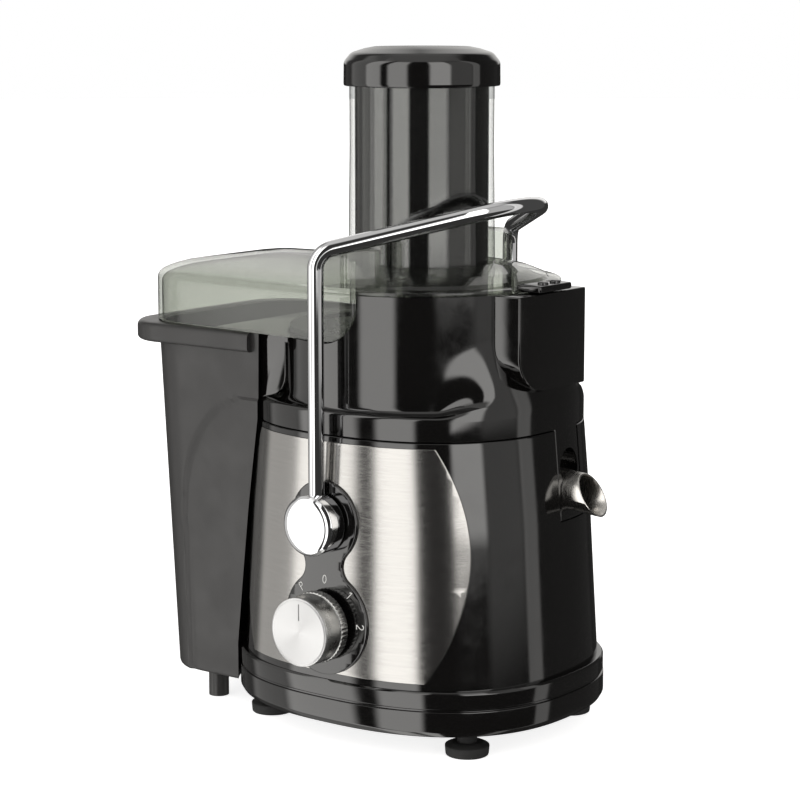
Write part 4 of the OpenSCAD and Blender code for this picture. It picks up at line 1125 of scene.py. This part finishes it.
def grip_plan(e):
    return round_end(-BIN_X + GRIP_CORNER, BIN_Y + GRIP_OUT - GRIP_CORNER, GRIP_CORNER - e,
                     (-60, BIN_Y + GRIP_OUT - e))


grip_rings = [[(x, y, BIN_TOP - GRIP_H) for x, y in bin_plan(1.4, inset=0.8)]]
grip_side = rounded([(12, BIN_TOP - GRIP_H, 0), (0, BIN_TOP - GRIP_H, 2.6), (0, BIN_TOP, 3.4),
                     (12, BIN_TOP, 0)])
for e, z in grip_side[1:-1]:
    grip_rings.append([(x, y, z) for x, y in grip_plan(e)])
grip_rings.append([(x, y, BIN_TOP) for x, y in bin_plan(0.2, inset=0.8)])
grip = skin("grip", grip_rings, closed=True)
cut(grip, block("grip_end", (-69, -120, 150), (0, 120, 300)))
INNER_TOP = DECK_Z - 12
cut(bin_shell, block("low_wall", (-118, -62.5, INNER_TOP), (-43, 62.5, 300)))
piece(bin_shell, "pulp_bin_shell", "pulp_bin", "bin_plastic", "pulp_bin", angle=30)
piece(grip, "pulp_bin_grip", "pulp_bin", "bin_plastic", angle=30)


# ---- Carried-over CAD nodes ----

for name in ("strainer_cone", "basket_rim", "basket_hub", "cord_gland"):
    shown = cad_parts[name]
    step = shown.modifiers.new("edges", "BEVEL")
    step.width, step.segments, step.limit_method, step.angle_limit = 0.45 * MM, 2, "ANGLE", radians(38)
    step.use_clamp_overlap = True
    step.harden_normals = False


# ---- Studio ----

LOOK_ALONG = (-0.59168, 0.78960, -0.16262)
camera_data = bpy.data.cameras.new("camera")
camera_data.sensor_width, camera_data.lens = 36, 109
camera_data.clip_start, camera_data.clip_end = 0.05, 50
camera = new_object("camera", camera_data)
camera.location = place((816.2, -1109.9, 412.1))
camera.rotation_mode = "QUATERNION"
camera.rotation_quaternion = Vector(LOOK_ALONG).to_track_quat("-Z", "Y")
bpy.context.scene.camera = camera

FLOOR_R, FLOOR_DROP = 9.0, 0.0002
floor = mesh_object("floor", [], [])
disc_mesh = bmesh.new()
bmesh.ops.create_circle(disc_mesh, cap_ends=True, segments=96, radius=FLOOR_R)
disc_mesh.to_mesh(floor.data)
disc_mesh.free()
floor.location.z = -FLOOR_DROP
floor.visible_glossy = False
floor_look = bpy.data.materials.new("floor_look")
floor_look.use_nodes = True
floor_shader = floor_look.node_tree.nodes["Principled BSDF"]
floor_shader.inputs["Base Color"].default_value = (0.9, 0.9, 0.9, 1)
floor_shader.inputs["Roughness"].default_value = 0.9
floor_shader.inputs["Emission Color"].default_value = (1, 1, 1, 1)
floor_shader.inputs["Emission Strength"].default_value = 0.8
floor.data.materials.append(floor_look)
floor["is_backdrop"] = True

# The studio's light is a ring of tall soft panels, an overhead one and a dim room, all drawn in the
# surroundings; what the camera sees past the floor is plain white. Bearings are in degrees from the
# side that the camera stands on.
world = bpy.data.worlds.new("studio")
bpy.context.scene.world = world
world.use_nodes = True
tree = world.node_tree
tree.nodes.clear()


def world_node(kind, inputs=(), **settings):
    return add_node(tree, kind, inputs, settings)


def maths(how, a, b=0.0):
    return world_node("Math", {0: a, 1: b}, operation=how).outputs["Value"]


def soft_step(value, edge, soft):
    """Rises from 0 to 1 across an edge, over soft to each side."""
    return world_node("MapRange", {"Value": value, "From Min": edge - soft,
                                             "From Max": edge + soft},
                      interpolation_type="SMOOTHSTEP").outputs["Result"]


OPEN_SIDE = math.degrees(math.atan2(-LOOK_ALONG[1], -LOOK_ALONG[0]))
around = world_node("TexCoord").outputs["Generated"]
direction = world_node("SeparateXYZ", {"Vector": around})
bearing = maths("ARCTAN2", direction.outputs["Y"], direction.outputs["X"])
bearing = maths("MULTIPLY", maths("SUBTRACT", bearing, radians(OPEN_SIDE)), 180 / math.pi)
bearing = world_node("Math", {0: bearing, 1: 180.0, 2: -180.0}, operation="WRAP").outputs["Value"]
rise = direction.outputs["Z"]
light = None
NO_EDGE = -2
# From and to bearing, power, softness of the two sides, and how high the lower edge starts
PANELS = ((-52, -22, 2.1, 3, NO_EDGE), (-90, -64, 2.0, 3, NO_EDGE), (-125, -90, 0.6, 5, NO_EDGE),
          (11, 42, 2.4, 3, -0.105), (42, 80, 0.42, 5, -0.16), (80, 93, 0.7, 1.5, NO_EDGE),
          (93, 145, 0.03, 3, NO_EDGE), (150, 180, 0.9, 8, 0.02), (-180, -150, 0.9, 8, 0.02),
          (-150, -120, 0.1, 6, NO_EDGE))
for low, high, power, soft, foot in PANELS:
    before_high = maths("SUBTRACT", 1.0, soft_step(bearing, high, soft))
    band = maths("MULTIPLY", soft_step(bearing, low, soft), before_high)
    band = maths("MULTIPLY", maths("MULTIPLY", band, soft_step(rise, foot, 0.03)), power)
    light = band if light is None else maths("ADD", light, band)
tall = maths("SUBTRACT", 1.0, soft_step(rise, 0.82, 0.10))
light = maths("MULTIPLY", light, tall)
overhead = maths("MULTIPLY", soft_step(rise, 0.86, 0.08), 0.55)
light = maths("ADD", maths("ADD", light, overhead), 0.035)
lit = world_node("Background", {"Color": (1.0, 0.985, 0.96, 1), "Strength": light})
seen = world_node("Background", {"Color": (1, 1, 1, 1), "Strength": 1.0})
choice = world_node("MixShader", {"Fac": world_node("LightPath").outputs["Is Camera Ray"],
                                            1: lit.outputs["Background"], 2: seen.outputs["Background"]})
tree.links.new(choice.outputs["Shader"], world_node("OutputWorld").inputs["Surface"])
bpy.context.scene.view_settings.view_transform = "Standard"

low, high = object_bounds()
